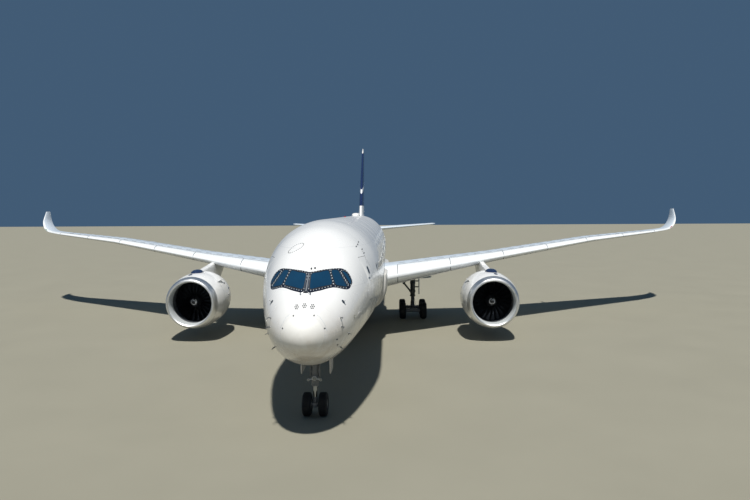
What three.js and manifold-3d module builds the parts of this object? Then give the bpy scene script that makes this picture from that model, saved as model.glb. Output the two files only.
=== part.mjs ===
// Wide-body twin-engine airliner parked on its landing gear, as a model at half the real size.
// Shapes are worked out in real metres: lateral (port is positive), station (aft of the nose
// tip) and height above the ground. The meshes come out in millimetres of the half-size model,
// with +X to port, +Y aft and +Z up.
import * as THREE from 'three';
import { mergeVertices } from 'three/addons/utils/BufferGeometryUtils.js';
import Module from 'manifold-3d';

const wasm = await Module();
wasm.setup();

// Driving dimensions, in real metres unless the name says otherwise
const MODEL_SCALE = 0.5;
const MM_PER_METRE = 1000 * MODEL_SCALE;
const LENGTH = 66.8;
const SEAT = 0.3 / MM_PER_METRE; // gap where one piece sits on another
const RUNNING = 6 / MM_PER_METRE; // gap round a piece that moves
const SURFACE_GAP = 8 / MM_PER_METRE; // gap round the nose of a control surface
const BIG = 12; // reach of a cutting block, past anything that it cuts
const SIDES = [['left', 1], ['right', -1]];

// Fuselage sections: station, half width, top, bottom, level of the greatest width
const FUSELAGE = [
  [0.0, 0.0, 4.35, 4.35, 4.35],
  [0.1, 0.42, 4.74, 3.98, 4.35],
  [0.4, 0.8, 5.12, 3.64, 4.37],
  [0.9, 1.16, 5.5, 3.29, 4.42],
  [1.6, 1.49, 5.9, 2.98, 4.53],
  [2.5, 1.79, 6.42, 2.74, 4.72],
  [3.6, 2.06, 7.05, 2.6, 4.97],
  [5.0, 2.34, 7.72, 2.555, 5.25],
  [7.0, 2.66, 8.32, 2.555, 5.48],
  [9.5, 2.91, 8.6, 2.555, 5.58],
  [12.0, 2.98, 8.645, 2.555, 5.6],
  [44.0, 2.98, 8.645, 2.56, 5.6],
  [48.0, 2.93, 8.64, 2.85, 5.66],
  [52.0, 2.65, 8.6, 3.55, 5.95],
  [56.0, 2.12, 8.48, 4.55, 6.45],
  [60.0, 1.42, 8.25, 5.6, 6.93],
  [63.0, 0.8, 7.95, 6.4, 7.18],
  [65.3, 0.3, 7.65, 7.0, 7.33],
];
const FUSELAGE_SIDES = 32;
// Where the fuselage is split: name, and the stations of its rings
const BARRELS = [
  ['radome', [0, 0.03, 0.1, 0.24, 0.42]],
  ['nose_section', [0.42, 0.8, 1.3, 2.0, 2.9, 3.9, 5.0, 6.2, 7.4]],
  ['forward_fuselage', [7.4, 9.2, 12, 21.5]],
  ['centre_fuselage', [21.5, 37.5]],
  ['aft_fuselage', [37.5, 44, 47, 50, 53.5]],
  ['tail_cone', [53.5, 57, 60.5, 63, 65.3]],
];

// Passenger doors on both sides: name, station of the centre, width, sill, height
const PASSENGER_DOORS = [
  ['door_1', 6.0, 1.07, 5.05, 1.93],
  ['door_2', 18.6, 1.07, 5.05, 1.93],
  ['door_3', 39.6, 1.07, 5.05, 1.93],
  ['door_4', 51.4, 1.07, 5.05, 1.93],
];
const DOOR_DEPTH = 0.12;
const DOOR_GROOVE = 3 / MM_PER_METRE;
const DOOR_CORNER = 0.16;

// Cargo doors on the starboard side: name, station of the centre, width
const CARGO_DOORS = [
  ['cargo_door_forward', 12.6, 2.8],
  ['cargo_door_aft', 44.4, 2.8],
];
const CARGO_HINGE_LEVEL = 4.85;
const CARGO_SILL_LEVEL = 3.1;
const CARGO_PANEL = 0.12;
const CARGO_PIN = 0.02;

// Wing sections: lateral, leading-edge station, nose level, chord, thickness ratio, incidence, cant
const WING = [
  [3.2, 22.55, 4.42, 13.35, 0.13, 4.3, 0],
  [11.6, 28.43, 5.38, 7.77, 0.112, 2.0, 0],
  [21.2, 35.15, 6.47, 4.98, 0.1, 0.5, 0],
  [28.8, 40.47, 7.02, 2.93, 0.095, 0, 3],
  [30.6, 42.1, 7.2, 2.55, 0.09, 0, 18],
  [31.5, 43.1, 7.55, 2.3, 0.085, 0, 40],
  [32.1, 44.1, 8.2, 1.85, 0.08, 0, 62],
  [32.36, 45.3, 9.2, 0.85, 0.075, 0, 80],
];
const CAMBER = 0.016;
const EDGE_THICKNESS = 0.016;
const AIRFOIL_STEPS = 7;
// Flaps: name, lateral of both ends, lateral and station of the two hinge pins, drop of the pins
const FLAPS = [
  { name: 'flap_inboard', ends: [3.62, 11.1], pins: [[4.3, 33.86], [8.6, 34.03]], drop: 0.34 },
  { name: 'flap_outboard', ends: [12.15, 20.95], pins: [[13.9, 35.43], [18.7, 37.73]], drop: 0.26 },
];
const FLAP_PIN = 12 / MM_PER_METRE;
const TRACK_FAIRING = { ahead: 2.3, behind: 2.5, halfWidth: 0.17 };
const AILERON = { name: 'aileron', ends: [21.95, 28.3], fraction: 0.74 };

// Fin sections: level, leading-edge station, chord, thickness ratio
const FIN = [
  [7.6, 53.14, 9.2, 0.07],
  [8.9, 54.38, 8.38, 0.07],
  [16.6, 61.77, 3.48, 0.075],
  [17.05, 62.4, 2.85, 0.04],
];
const RUDDER = { ends: [9.75, 16.25], fraction: 0.7 };
// Tailplane sections: lateral, leading-edge station, nose level, chord, thickness ratio, incidence, cant
const TAILPLANE = [
  [0.3, 57.61, 6.85, 6.23, 0.09, 0, 0],
  [9.0, 64.14, 7.42, 2.53, 0.09, 0, 0],
  [9.34, 64.75, 7.45, 2.05, 0.05, 0, 0],
];
const TAILPLANE_ROOT = [[1.93, 57.6], [0.95, 63.0]];
const TAILPLANE_PIVOT = { station: 61.2, level: 6.89, radius: 0.12 };
const SHAFT_SIDES = 16;
const ELEVATOR = { ends: [1.95, 8.7], fraction: 0.68 };

// Belly fairing sections: station, half width, top, bottom
const BELLY = [
  [19.2, 1.6, 3.4, 2.62],
  [21.0, 2.7, 4.3, 2.3],
  [23.0, 3.2, 4.9, 2.12],
  [36.2, 3.2, 4.7, 2.12],
  [38.4, 2.7, 4.2, 2.3],
  [40.6, 1.6, 3.4, 2.62],
];

// Engines, on the nacelle's own axis
const ENGINE = { lateral: 10.5, level: 2.74, segments: 24 };
// Nacelle profile, once round from the lip's foremost point: radius, station
const NACELLE = [
  [1.57, 21.45], [1.68, 21.52], [1.8, 21.9], [1.94, 23.0], [1.97, 24.2], [1.91, 25.5],
  [1.5, 27.2], [1.46, 27.2], [1.53, 25.8], [1.5, 23.4], [1.5, 22.8], [1.44, 22.05],
  [1.48, 21.58],
];
const FAN_BACK = 23.6; // station of the fan hub's back face, which runs on the core's shaft end
// Core cowl, exhaust nozzle and plug: radius, station
const CORE = [
  [0, FAN_BACK + SEAT], [0.3, FAN_BACK + SEAT], [0.3, 23.64], [0.7, 23.64], [0.98, 25.2],
  [0.95, 26.6], [0.62, 28.6], [0.46, 28.62], [0.34, 29.1], [0, 29.6],
];
const FAN = { blades: 22, plane: 23.08 };
// Spinner and hub: radius, station
const SPINNER = [
  [0, 22.3], [0.12, 22.38], [0.3, 22.66], [0.43, 22.95], [0.6, FAN_BACK], [0, FAN_BACK],
];
// Fan blade sections: radius, chord, stagger in degrees, thickness, sweep aft
const BLADE = [
  [0.4, 0.42, 22, 0.05, 0.0],
  [0.9, 0.52, 44, 0.034, -0.03],
  [1.472, 0.56, 62, 0.02, 0.05],
];
const VANES = { count: 12, station: 24.75, chord: 0.5, thickness: 0.04 };
const PYLON_HALF = 0.24;
// Pylon side view: station, level
const PYLON = [
  [23.3, 4.62], [24.4, 4.84], [26.4, 5.02], [27.8, 5.16], [31.6, 5.16], [31.6, 4.9],
  [30.6, 4.45], [29.2, 3.7], [28.5, 3.2], [27.0, 3.2], [25.0, 4.2], [23.3, 4.5],
];

// Landing gear
const NOSE_GEAR = { station: 4.6, tyreRadius: 0.525, tyreWidth: 0.395, track: 0.36, bayTop: 3.5 };
const MAIN_GEAR = {
  lateral: 5.3, station: 33.26, tyreRadius: 0.7, tyreWidth: 0.53, track: 0.8675,
  axleOffset: 1.02, legTopStation: 32.75,
};
const TOW_LUG = 0.22; // reach of the towing lug ahead of the nose axle
const NOSE_BAY = { half: 0.6, from: 3.95, to: 6.35, top: 3.55 };

// Materials: colour, roughness, metalness
const finish = (color, roughness, metalness) => (
  new THREE.MeshStandardMaterial({ color, roughness, metalness })
);
const PAINT = finish(0xe9ebec, 0.3, 0);
const BAND = finish(0x1b2a55, 0.3, 0);
const GREY_PAINT = finish(0xb9bdc0, 0.45, 0.1);
const FAN_METAL = finish(0x3c4046, 0.35, 0.9);
const CORE_METAL = finish(0x6d675f, 0.5, 0.9);
const GLASS = finish(0x0c1622, 0.1, 0);
const LEG_METAL = finish(0xd2d4d3, 0.4, 0.3);
const RIM_METAL = finish(0xcfd2d3, 0.35, 0.6);
const RUBBER = finish(0x1b1b1c, 0.85, 0);

const airliner = new THREE.Group();

// Solids from three.js shapes

function signedVolume(points, faces) {
  let six = 0;
  for (let i = 0; i < faces.length; i += 3) {
    const [a, b, c] = [faces[i], faces[i + 1], faces[i + 2]].map((v) => (
      new THREE.Vector3().fromArray(points, 3 * v)
    ));
    six += a.dot(b.cross(c));
  }
  return six / 6;
}

function solidOf(geometry) {
  geometry.deleteAttribute('normal');
  geometry.deleteAttribute('uv');
  const merged = mergeVertices(geometry, 1e-6);
  const points = merged.attributes.position.array;
  const faces = [];
  for (let i = 0; i < merged.index.count; i += 3) {
    const [a, b, c] = [0, 1, 2].map((k) => merged.index.getX(i + k));
    if (a !== b && b !== c && c !== a) faces.push(a, b, c);
  }
  if (signedVolume(points, faces) < 0) faces.reverse();
  return new wasm.Manifold(new wasm.Mesh({
    numProp: 3,
    vertProperties: Float32Array.from(points),
    triVerts: Uint32Array.from(faces),
  }));
}

// Triangles that close one ring of a loft, facing along the ring's own right-handed normal
function capFaces(ring, first) {
  const normal = new THREE.Vector3();
  ring.forEach((p, k) => {
    const q = ring[(k + 1) % ring.length];
    normal.x += (p[1] - q[1]) * (p[2] + q[2]);
    normal.y += (p[2] - q[2]) * (p[0] + q[0]);
    normal.z += (p[0] - q[0]) * (p[1] + q[1]);
  });
  if (normal.length() < 1e-9) return [];
  const drop = [Math.abs(normal.x), Math.abs(normal.y), Math.abs(normal.z)];
  const lost = drop.indexOf(Math.max(...drop));
  const flat = ring.map((p) => new THREE.Vector2(...p.filter((_, axis) => axis !== lost)));
  return THREE.ShapeUtils.triangulateShape(flat, []).flatMap((face) => {
    const [a, b, c] = face.map((k) => new THREE.Vector3(...ring[k]));
    const facing = b.sub(a).cross(c.sub(a)).dot(normal);
    return (facing > 0 ? face : [...face].reverse()).map((k) => first + k);
  });
}

// A closed solid through rings that all have the same number of points
function loft(rings) {
  const count = rings[0].length;
  const index = [];
  for (let ring = 0; ring + 1 < rings.length; ring += 1) {
    for (let k = 0; k < count; k += 1) {
      const [a, b] = [ring * count + k, ring * count + ((k + 1) % count)];
      index.push(a, b, b + count, a, b + count, a + count);
    }
  }
  index.push(...capFaces(rings[0], 0).reverse());
  index.push(...capFaces(rings.at(-1), (rings.length - 1) * count));
  const geometry = new THREE.BufferGeometry();
  geometry.setAttribute('position', new THREE.Float32BufferAttribute(rings.flat(2), 3));
  geometry.setIndex(index);
  return solidOf(geometry);
}

// A profile of [radius, station] turned round the line at that lateral and level
function revolve(profile, segments, lateral = 0, level = 0) {
  const points = profile.map(([radius, station]) => new THREE.Vector2(radius, station));
  return solidOf(new THREE.LatheGeometry(points, segments)).translate([lateral, 0, level]);
}

function ringProfile(profile) {
  return [...profile, profile[0]];
}

// A round bar or taper between two points
function rod(from, to, radius, endRadius = radius, segments = 8) {
  const [start, end] = [new THREE.Vector3(...from), new THREE.Vector3(...to)];
  const length = start.distanceTo(end);
  const geometry = new THREE.CylinderGeometry(endRadius, radius, length, segments);
  const turn = new THREE.Quaternion().setFromUnitVectors(
    new THREE.Vector3(0, 1, 0), end.clone().sub(start).normalize(),
  );
  geometry.applyQuaternion(turn);
  geometry.translate(...start.add(end).multiplyScalar(0.5).toArray());
  return solidOf(geometry);
}

// Radius of a faceted hole that a faceted shaft of that radius turns in
function boreFor(radius, sides) {
  return (radius + SEAT) / Math.cos(Math.PI / sides);
}

// A block from its lowest to its highest corner
function block(low, high) {
  const size = high.map((value, axis) => value - low[axis]);
  const geometry = new THREE.BoxGeometry(...size);
  geometry.translate(...low.map((value, axis) => value + size[axis] / 2));
  return solidOf(geometry);
}

// An outline in the plane across one axis (0 lateral, 1 station, 2 level), drawn out along it
function prism(outline, axis, from, to) {
  const ring = (at) => outline.map(([a, b]) => {
    if (axis === 0) return [at, a, b];
    if (axis === 1) return [a, at, b];
    return [a, b, at];
  });
  return loft([ring(from), ring(to)]);
}

function roundedOutline(centre, level, width, height, corner, grow = 0) {
  const outline = [];
  const quarter = [[1, 1, 0], [-1, 1, 90], [-1, -1, 180], [1, -1, 270]];
  for (const [across, up, start] of quarter) {
    for (let step = 0; step <= 3; step += 1) {
      const angle = THREE.MathUtils.degToRad(start + step * 30);
      outline.push([
        centre + across * (width / 2 - corner) + (corner + grow) * Math.cos(angle),
        level + up * (height / 2 - corner) + (corner + grow) * Math.sin(angle),
      ]);
    }
  }
  return outline;
}

function largest(solid) {
  const parts = solid.decompose();
  return parts.reduce((best, part) => (part.volume() > best.volume() ? part : best));
}

function joined(solids) {
  return solids.reduce((sum, solid) => sum.add(solid));
}

// What is left of a piece that sits on a carrier, with the seating gap along each direction
function seated(piece, carrier, directions) {
  const grown = directions.map((direction) => carrier.translate(direction.map((d) => d * SEAT)));
  return largest(piece.subtract(joined([carrier, ...grown])));
}

// Pieces of the model

const pieces = {};

function keep(name, solid, material) {
  pieces[name] = { solid, material };
}

function emit(name) {
  const { solid, material } = pieces[name];
  const sized = solid.translate([0, -LENGTH / 2, 0]).scale(MM_PER_METRE);
  const { vertProperties, triVerts } = sized.getMesh();
  const geometry = new THREE.BufferGeometry();
  geometry.setAttribute('position', new THREE.BufferAttribute(vertProperties, 3));
  geometry.setIndex(new THREE.BufferAttribute(triVerts, 1));
  geometry.computeVertexNormals();
  const mesh = new THREE.Mesh(geometry, material);
  mesh.name = name;
  airliner.add(mesh);
}

// Fuselage: smooth sections between the rows of the table

// Monotone cubic through the table, in the square root of the station, so that the nose is round
function fuselageSection(station) {
  const at = Math.sqrt(station);
  const knots = FUSELAGE.map((row) => Math.sqrt(row[0]));
  let i = knots.findIndex((knot, k) => at <= knots[k + 1] || k === knots.length - 2);
  i = Math.max(i, 0);
  const slope = (column, k) => (
    (FUSELAGE[k + 1][column] - FUSELAGE[k][column]) / (knots[k + 1] - knots[k])
  );
  const tangent = (column, k) => {
    if (k === 0) return slope(column, 0);
    if (k === knots.length - 1) return slope(column, k - 1);
    const [before, after] = [slope(column, k - 1), slope(column, k)];
    return before * after <= 0 ? 0 : (2 * before * after) / (before + after);
  };
  const span = knots[i + 1] - knots[i];
  const t = (at - knots[i]) / span;
  const blend = (column) => (
    FUSELAGE[i][column] * (1 + 2 * t) * (1 - t) ** 2
    + FUSELAGE[i + 1][column] * t ** 2 * (3 - 2 * t)
    + tangent(column, i) * span * t * (1 - t) ** 2
    - tangent(column, i + 1) * span * t ** 2 * (1 - t)
  );
  return { half: blend(1), top: blend(2), bottom: blend(3), wide: blend(4) };
}

function fuselageRing(station, inset) {
  const { half, top, bottom, wide } = fuselageSection(station);
  const ring = [];
  for (let k = 0; k < FUSELAGE_SIDES; k += 1) {
    const angle = (2 * Math.PI * k) / FUSELAGE_SIDES;
    const rise = Math.cos(angle) > 0 ? top - wide : wide - bottom;
    ring.push([
      Math.max(half - inset, 0) * Math.sin(angle),
      station,
      wide + Math.max(rise - inset, 0) * Math.cos(angle),
    ]);
  }
  return ring;
}

function fuselageBarrel(stations, inset = 0) {
  return loft(stations.map((station) => fuselageRing(station, inset)));
}

function barrelStations(name) {
  const stations = [...BARRELS.find(([barrel]) => barrel === name)[1]];
  if (stations[0] > 0) stations[0] += SEAT / 2;
  if (name !== 'tail_cone') stations[stations.length - 1] -= SEAT / 2;
  return stations;
}

// Half width of the skin at a station and level
function skinAt(station, level) {
  const { half, top, bottom, wide } = fuselageSection(station);
  const rise = level > wide ? top - wide : wide - bottom;
  return half * Math.sqrt(1 - ((level - wide) / rise) ** 2);
}

for (const [name] of BARRELS) {
  keep(name, fuselageBarrel(barrelStations(name)), PAINT);
}

function barrelHolding(station) {
  return BARRELS.find(([, rings]) => station > rings[0] && station < rings.at(-1))[0];
}

// A flush panel in the skin, and the recess that it fills
function insetPanel(name, barrel, regionOf, depth, groove, material) {
  const body = pieces[barrel];
  const stations = barrelStations(barrel);
  const panel = body.solid.intersect(regionOf(0)).subtract(fuselageBarrel(stations, depth));
  const recess = regionOf(groove).subtract(fuselageBarrel(stations, depth + SEAT));
  body.solid = body.solid.subtract(recess);
  keep(name, largest(panel), material);
}

// Passenger doors

for (const [name, station, width, sill, height] of PASSENGER_DOORS) {
  for (const [side, sign] of SIDES) {
    const region = (grow) => prism(
      roundedOutline(station, sill + height / 2, width, height, DOOR_CORNER, grow),
      0, sign * 0.6, sign * 3.4,
    );
    insetPanel(`${name}_${side}`, barrelHolding(station), region, DOOR_DEPTH, DOOR_GROOVE, PAINT);
  }
}

// Cockpit windows: one dark band round the front of the cockpit, seen here from the front

const WINDOW_BAND = [
  [0, 6.57], [0.6, 6.65], [1.24, 6.645], [1.55, 6.45], [1.72, 6.12], [1.7, 5.95],
  [1.56, 5.83], [1.04, 5.975], [0.5, 5.9],
];
const WINDOW_DEPTH = 0.06;

insetPanel('cockpit_windows', 'nose_section', (grow) => {
  const half = WINDOW_BAND.map(([x, z]) => [x, z]);
  const low = [[0, 5.84]];
  const mirrored = half.slice(1).reverse().map(([x, z]) => [-x, z]);
  const outline = [...half, ...low, ...mirrored];
  const centre = 6.25;
  const wider = outline.map(([x, z]) => [
    x * (1 + grow / 1.72), centre + (z - centre) * (1 + grow / 0.4),
  ]);
  return prism(wider, 1, 0.8, 4.2);
}, WINDOW_DEPTH, DOOR_GROOVE / 2, GLASS);

// Nose gear bay

{
  const { half, from, to, top } = NOSE_BAY;
  const body = pieces.nose_section;
  body.solid = body.solid.subtract(block([-half, from, 1], [half, to, top]));
}

// Cargo doors: hinged along the top edge, on the line of the outer skin

const hinges = {};

function hingeRecord(name, point, axis, more = {}) {
  hinges[name] = {
    point: [point[0], point[1] - LENGTH / 2, point[2]].map((value) => value * MODEL_SCALE),
    axis,
    ...more,
  };
}

for (const [name, station, width] of CARGO_DOORS) {
  const hinge = [-skinAt(station, CARGO_HINGE_LEVEL), CARGO_HINGE_LEVEL];
  const sill = [-skinAt(station, CARGO_SILL_LEVEL), CARGO_SILL_LEVEL];
  const reach = Math.hypot(sill[0] - hinge[0], sill[1] - hinge[1]);
  const sector = (radius, above) => {
    const outline = [[hinge[0] + radius, hinge[1] + above], [hinge[0] - radius, hinge[1] + above]];
    for (let step = 0; step <= 16; step += 1) {
      const angle = Math.PI + (Math.PI * step) / 16;
      outline.push([hinge[0] + radius * Math.cos(angle), hinge[1] + radius * Math.sin(angle)]);
    }
    return outline;
  };
  const [from, to] = [station - width / 2, station + width / 2];
  const barrel = pieces[barrelHolding(station)];
  const inner = fuselageBarrel(barrelStations(barrelHolding(station)), CARGO_PANEL);
  const panel = barrel.solid
    .intersect(prism(sector(reach, 0), 1, from, to))
    .subtract(inner);
  const wall = RUNNING;
  const pin = rod(
    [hinge[0], from - wall + SEAT, hinge[1]], [hinge[0], to + wall - SEAT, hinge[1]], CARGO_PIN,
  );
  barrel.solid = barrel.solid.subtract(
    prism(sector(reach + wall, CARGO_PIN + SEAT), 1, from - wall, to + wall),
  );
  keep(name, largest(panel).add(pin), PAINT);
  hingeRecord(name, [hinge[0], station, hinge[1]], [0, 1, 0], { reach: reach * MODEL_SCALE });
}

// Wings, fin and tailplane: sections of one family, thickest ahead of the middle

function halfThickness(fraction, ratio, chord) {
  const x = fraction;
  const shape = 0.2969 * Math.sqrt(x) - 0.126 * x - 0.3516 * x ** 2 + 0.2843 * x ** 3 - 0.1036 * x ** 4;
  return 5 * ratio * chord * shape + (EDGE_THICKNESS / 2) * x;
}

// Points once round a section: [distance aft of the nose, height over the chord]
function airfoil(chord, ratio, camber) {
  const outline = [];
  for (let step = AIRFOIL_STEPS; step >= -AIRFOIL_STEPS; step -= 1) {
    const x = (1 - Math.cos((Math.PI * Math.abs(step)) / AIRFOIL_STEPS)) / 2;
    const mean = 4 * camber * chord * x * (1 - x);
    outline.push([x * chord, mean + Math.sign(step) * halfThickness(x, ratio, chord)]);
  }
  return outline;
}

// A point of a section of WING or TAILPLANE, from its distance aft and height
function onSection([lateral, lead, level, , , incidence, cant], [aft, height], sign) {
  const [tilt, lean] = [incidence, cant].map(THREE.MathUtils.degToRad);
  return [
    sign * (lateral - height * Math.sin(lean)),
    lead + aft * Math.cos(tilt) + height * Math.sin(tilt),
    level - aft * Math.sin(tilt) + height * Math.cos(tilt) * Math.cos(lean),
  ];
}

function surfaceLoft(table, camber, sign) {
  return loft(table.map((row) => (
    airfoil(row[3], row[4], camber).map((point) => onSection(row, point, sign))
  )));
}

const lerp = (a, b, t) => a.map((value, k) => value + (b[k] - value) * t);

// A point at a lateral and a chord fraction, on the mean line or so far above or below it in
// half thicknesses, with the half thickness there
function spanPoint(table, camber, lateral, fraction, sign, above = 0) {
  const next = Math.max(1, table.findIndex((row) => row[0] >= lateral));
  const t = (lateral - table[next - 1][0]) / (table[next][0] - table[next - 1][0]);
  const [inner, outer] = [table[next - 1], table[next]].map((row) => {
    const [chord, ratio] = [row[3], row[4]];
    const half = halfThickness(fraction, ratio, chord);
    const mean = 4 * camber * chord * fraction * (1 - fraction);
    return [...onSection(row, [fraction * chord, mean + above * half], sign), half];
  });
  const [x, y, z, half] = lerp(inner, outer, t);
  return { point: [x, y, z], half };
}

// The space swept by a surface hinged on the line between two points: everything aft of it,
// with a round nose. Radii are at both ends; set back moves the front plane forward, and
// notch opens the underside just aft of the nose
function surfaceRegion(inner, outer, radii, { setBack = 0, lengthen = 0, notch = 0, up = [0, 0, 1] }) {
  const [start, end] = [new THREE.Vector3(...inner), new THREE.Vector3(...outer)];
  const axis = end.clone().sub(start).normalize();
  const aft = new THREE.Vector3(0, 1, 0);
  aft.addScaledVector(axis, -aft.dot(axis)).normalize();
  const over = new THREE.Vector3().crossVectors(axis, aft);
  if (over.dot(new THREE.Vector3(...up)) < 0) over.negate();
  const ring = (centre, radius) => {
    const opening = Math.acos(-setBack / radius);
    const sweep = 2 * (Math.PI - opening) + THREE.MathUtils.degToRad(notch);
    const flat = [[BIG, -BIG], [BIG, BIG], [-setBack, BIG]];
    const steps = 8;
    for (let step = 0; step <= steps; step += 1) {
      const angle = opening + (sweep * step) / steps;
      flat.push([radius * Math.cos(angle), radius * Math.sin(angle)]);
    }
    if (notch === 0) flat.push([-setBack, -BIG]);
    else flat.push([radius, -BIG]);
    return flat.map(([a, u]) => (
      centre.clone().addScaledVector(aft, a).addScaledVector(over, u).toArray()
    ));
  };
  return loft([
    ring(start.addScaledVector(axis, -lengthen), radii[0]),
    ring(end.addScaledVector(axis, lengthen), radii[1]),
  ]);
}

// A control surface whose round nose turns in a matching hollow of what carries it
function controlSurface(carrier, inner, outer, name, material, up) {
  const radii = [inner.half, outer.half];
  const region = surfaceRegion(inner.point, outer.point, radii, { up });
  const wider = surfaceRegion(
    inner.point, outer.point, radii.map((radius) => radius + SURFACE_GAP),
    { setBack: SURFACE_GAP, lengthen: RUNNING, up },
  );
  const surface = largest(pieces[carrier].solid.intersect(region));
  pieces[carrier].solid = largest(pieces[carrier].solid.subtract(wider));
  return { surface, name, material };
}

// Round pins on the hinge line at both ends of a surface, which reach the walls of its bay
function withHingePins(surface, inner, outer, radius) {
  const [start, end] = [new THREE.Vector3(...inner), new THREE.Vector3(...outer)];
  const axis = end.clone().sub(start).normalize();
  const pin = rod(
    start.clone().addScaledVector(axis, SEAT - RUNNING).toArray(),
    end.clone().addScaledVector(axis, RUNNING - SEAT).toArray(), radius, radius, 8,
  );
  return surface.add(pin);
}

function unitAxis(from, to) {
  return new THREE.Vector3(...to).sub(new THREE.Vector3(...from)).normalize().toArray();
}

for (const [side, sign] of SIDES) {
  const wing = `wing_${side}`;
  keep(wing, surfaceLoft(WING, CAMBER, sign), PAINT);
  // Flaps, hung from pins at the foot of their track fairings
  for (const flap of FLAPS) {
    const feet = flap.pins.map(([lateral, station]) => {
      const row = WING.findIndex((entry) => entry[0] >= lateral);
      const t = (lateral - WING[row - 1][0]) / (WING[row][0] - WING[row - 1][0]);
      const [, lead, , chord] = lerp(WING[row - 1], WING[row], t);
      const { point } = spanPoint(WING, CAMBER, lateral, (station - lead) / chord, sign, -1);
      return [sign * lateral, station, point[2] - flap.drop];
    });
    for (const [x, station, level] of feet) {
      const { ahead, behind, halfWidth } = TRACK_FAIRING;
      const bottom = level - FLAP_PIN;
      // Track fairing sections: station from the pin, half width, bottom and top over its foot
      const shape = [
        [-ahead, 0.02, 0.5, 0.56], [-ahead * 0.5, halfWidth * 0.85, 0.1, 0.7],
        [0, halfWidth, 0, 0.65], [behind * 0.4, halfWidth * 0.8, 0.03, 0.55],
        [behind, 0.02, 0.2, 0.24],
      ];
      const rings = shape.map(([from, half, low, high]) => {
        const ring = [];
        for (let k = 0; k < 6; k += 1) {
          const angle = (Math.PI * (2 * k + 1)) / 6;
          ring.push([
            x + half * Math.sin(angle), station + from,
            bottom + (low + high) / 2 + ((high - low) / 2) * 1.15 * Math.cos(angle),
          ]);
        }
        return ring;
      });
      pieces[wing].solid = pieces[wing].solid.add(loft(rings));
    }
    const slope = (k) => (feet[1][k] - feet[0][k]) / Math.abs(feet[1][0] - feet[0][0]);
    const [inner, outer] = flap.ends.map((lateral) => {
      const away = lateral - flap.pins[0][0];
      return [sign * lateral, feet[0][1] + slope(1) * away, feet[0][2] + slope(2) * away];
    });
    const pins = [FLAP_PIN, FLAP_PIN];
    const region = surfaceRegion(inner, outer, pins, { notch: 50 });
    const wider = surfaceRegion(inner, outer, pins.map((r) => r + SEAT * 1.5), {
      setBack: RUNNING, lengthen: RUNNING,
    });
    const name = `${flap.name}_${side}`;
    keep(name, largest(pieces[wing].solid.intersect(region)), GREY_PAINT);
    pieces[wing].solid = largest(pieces[wing].solid.subtract(wider));
    hingeRecord(name, inner, unitAxis(inner, outer));
  }
  // Aileron
  const [inner, outer] = AILERON.ends.map((lateral) => (
    spanPoint(WING, CAMBER, lateral, AILERON.fraction, sign)
  ));
  const aileron = controlSurface(wing, inner, outer, `aileron_${side}`, GREY_PAINT);
  keep(
    aileron.name, withHingePins(aileron.surface, inner.point, outer.point, outer.half * 0.5),
    GREY_PAINT,
  );
  hingeRecord(aileron.name, inner.point, unitAxis(inner.point, outer.point));
}

// Belly fairing: a saddle under the centre fuselage, with flat sides where the wings join

{
  const rings = BELLY.map(([station, half, top, bottom]) => {
    const corner = Math.min(1.1, 0.55 * (top - bottom));
    const ring = [[half, station, top], [half, station, bottom + corner]];
    for (let step = 1; step <= 5; step += 1) {
      const angle = (Math.PI / 2) * (step / 5);
      ring.push([
        half - corner * (1 - Math.cos(angle)) * 1.3,
        station,
        bottom + corner * (1 - Math.sin(angle)),
      ]);
    }
    const mirrored = [...ring].reverse().map(([x, y, z]) => [-x, y, z]);
    return [...ring, ...mirrored];
  });
  const hull = fuselageBarrel([18.5, 21.5, 37.5, 42], -SEAT);
  keep('belly_fairing', largest(loft(rings).subtract(hull)), PAINT);
}

for (const [side, sign] of SIDES) {
  // The wing starts just outside the flat side of the fairing
  const wing = pieces[`wing_${side}`];
  wing.solid = wing.solid.translate([sign * SEAT, 0, 0]);
  for (const flap of FLAPS) {
    const entry = pieces[`${flap.name}_${side}`];
    entry.solid = entry.solid.translate([sign * SEAT, 0, 0]);
  }
  const aileron = pieces[`aileron_${side}`];
  aileron.solid = aileron.solid.translate([sign * SEAT, 0, 0]);
}

// Fin and rudder

keep('fin', loft(FIN.map(([level, lead, chord, ratio]) => (
  airfoil(chord, ratio, 0).map(([aft, height]) => [height, lead + aft, level])
))), BAND);
{
  const finPoint = (level) => {
    const next = FIN.findIndex((row) => row[0] >= level);
    const t = (level - FIN[next - 1][0]) / (FIN[next][0] - FIN[next - 1][0]);
    const [, lead, chord, ratio] = lerp(FIN[next - 1], FIN[next], t);
    return {
      point: [0, lead + RUDDER.fraction * chord, level],
      half: halfThickness(RUDDER.fraction, ratio, chord),
    };
  };
  const [low, high] = RUDDER.ends.map(finPoint);
  const { surface } = controlSurface('fin', low, high, 'rudder', BAND, [1, 0, 0]);
  keep('rudder', withHingePins(surface, low.point, high.point, high.half * 0.5), BAND);
  hingeRecord('rudder', low.point, unitAxis(low.point, high.point));
  pieces.fin.solid = seated(pieces.fin.solid, pieces.tail_cone.solid, [[0, 0, 1]]);
}

// Tailplane: both halves on one trim shaft through the tail cone, with the elevators

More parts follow.
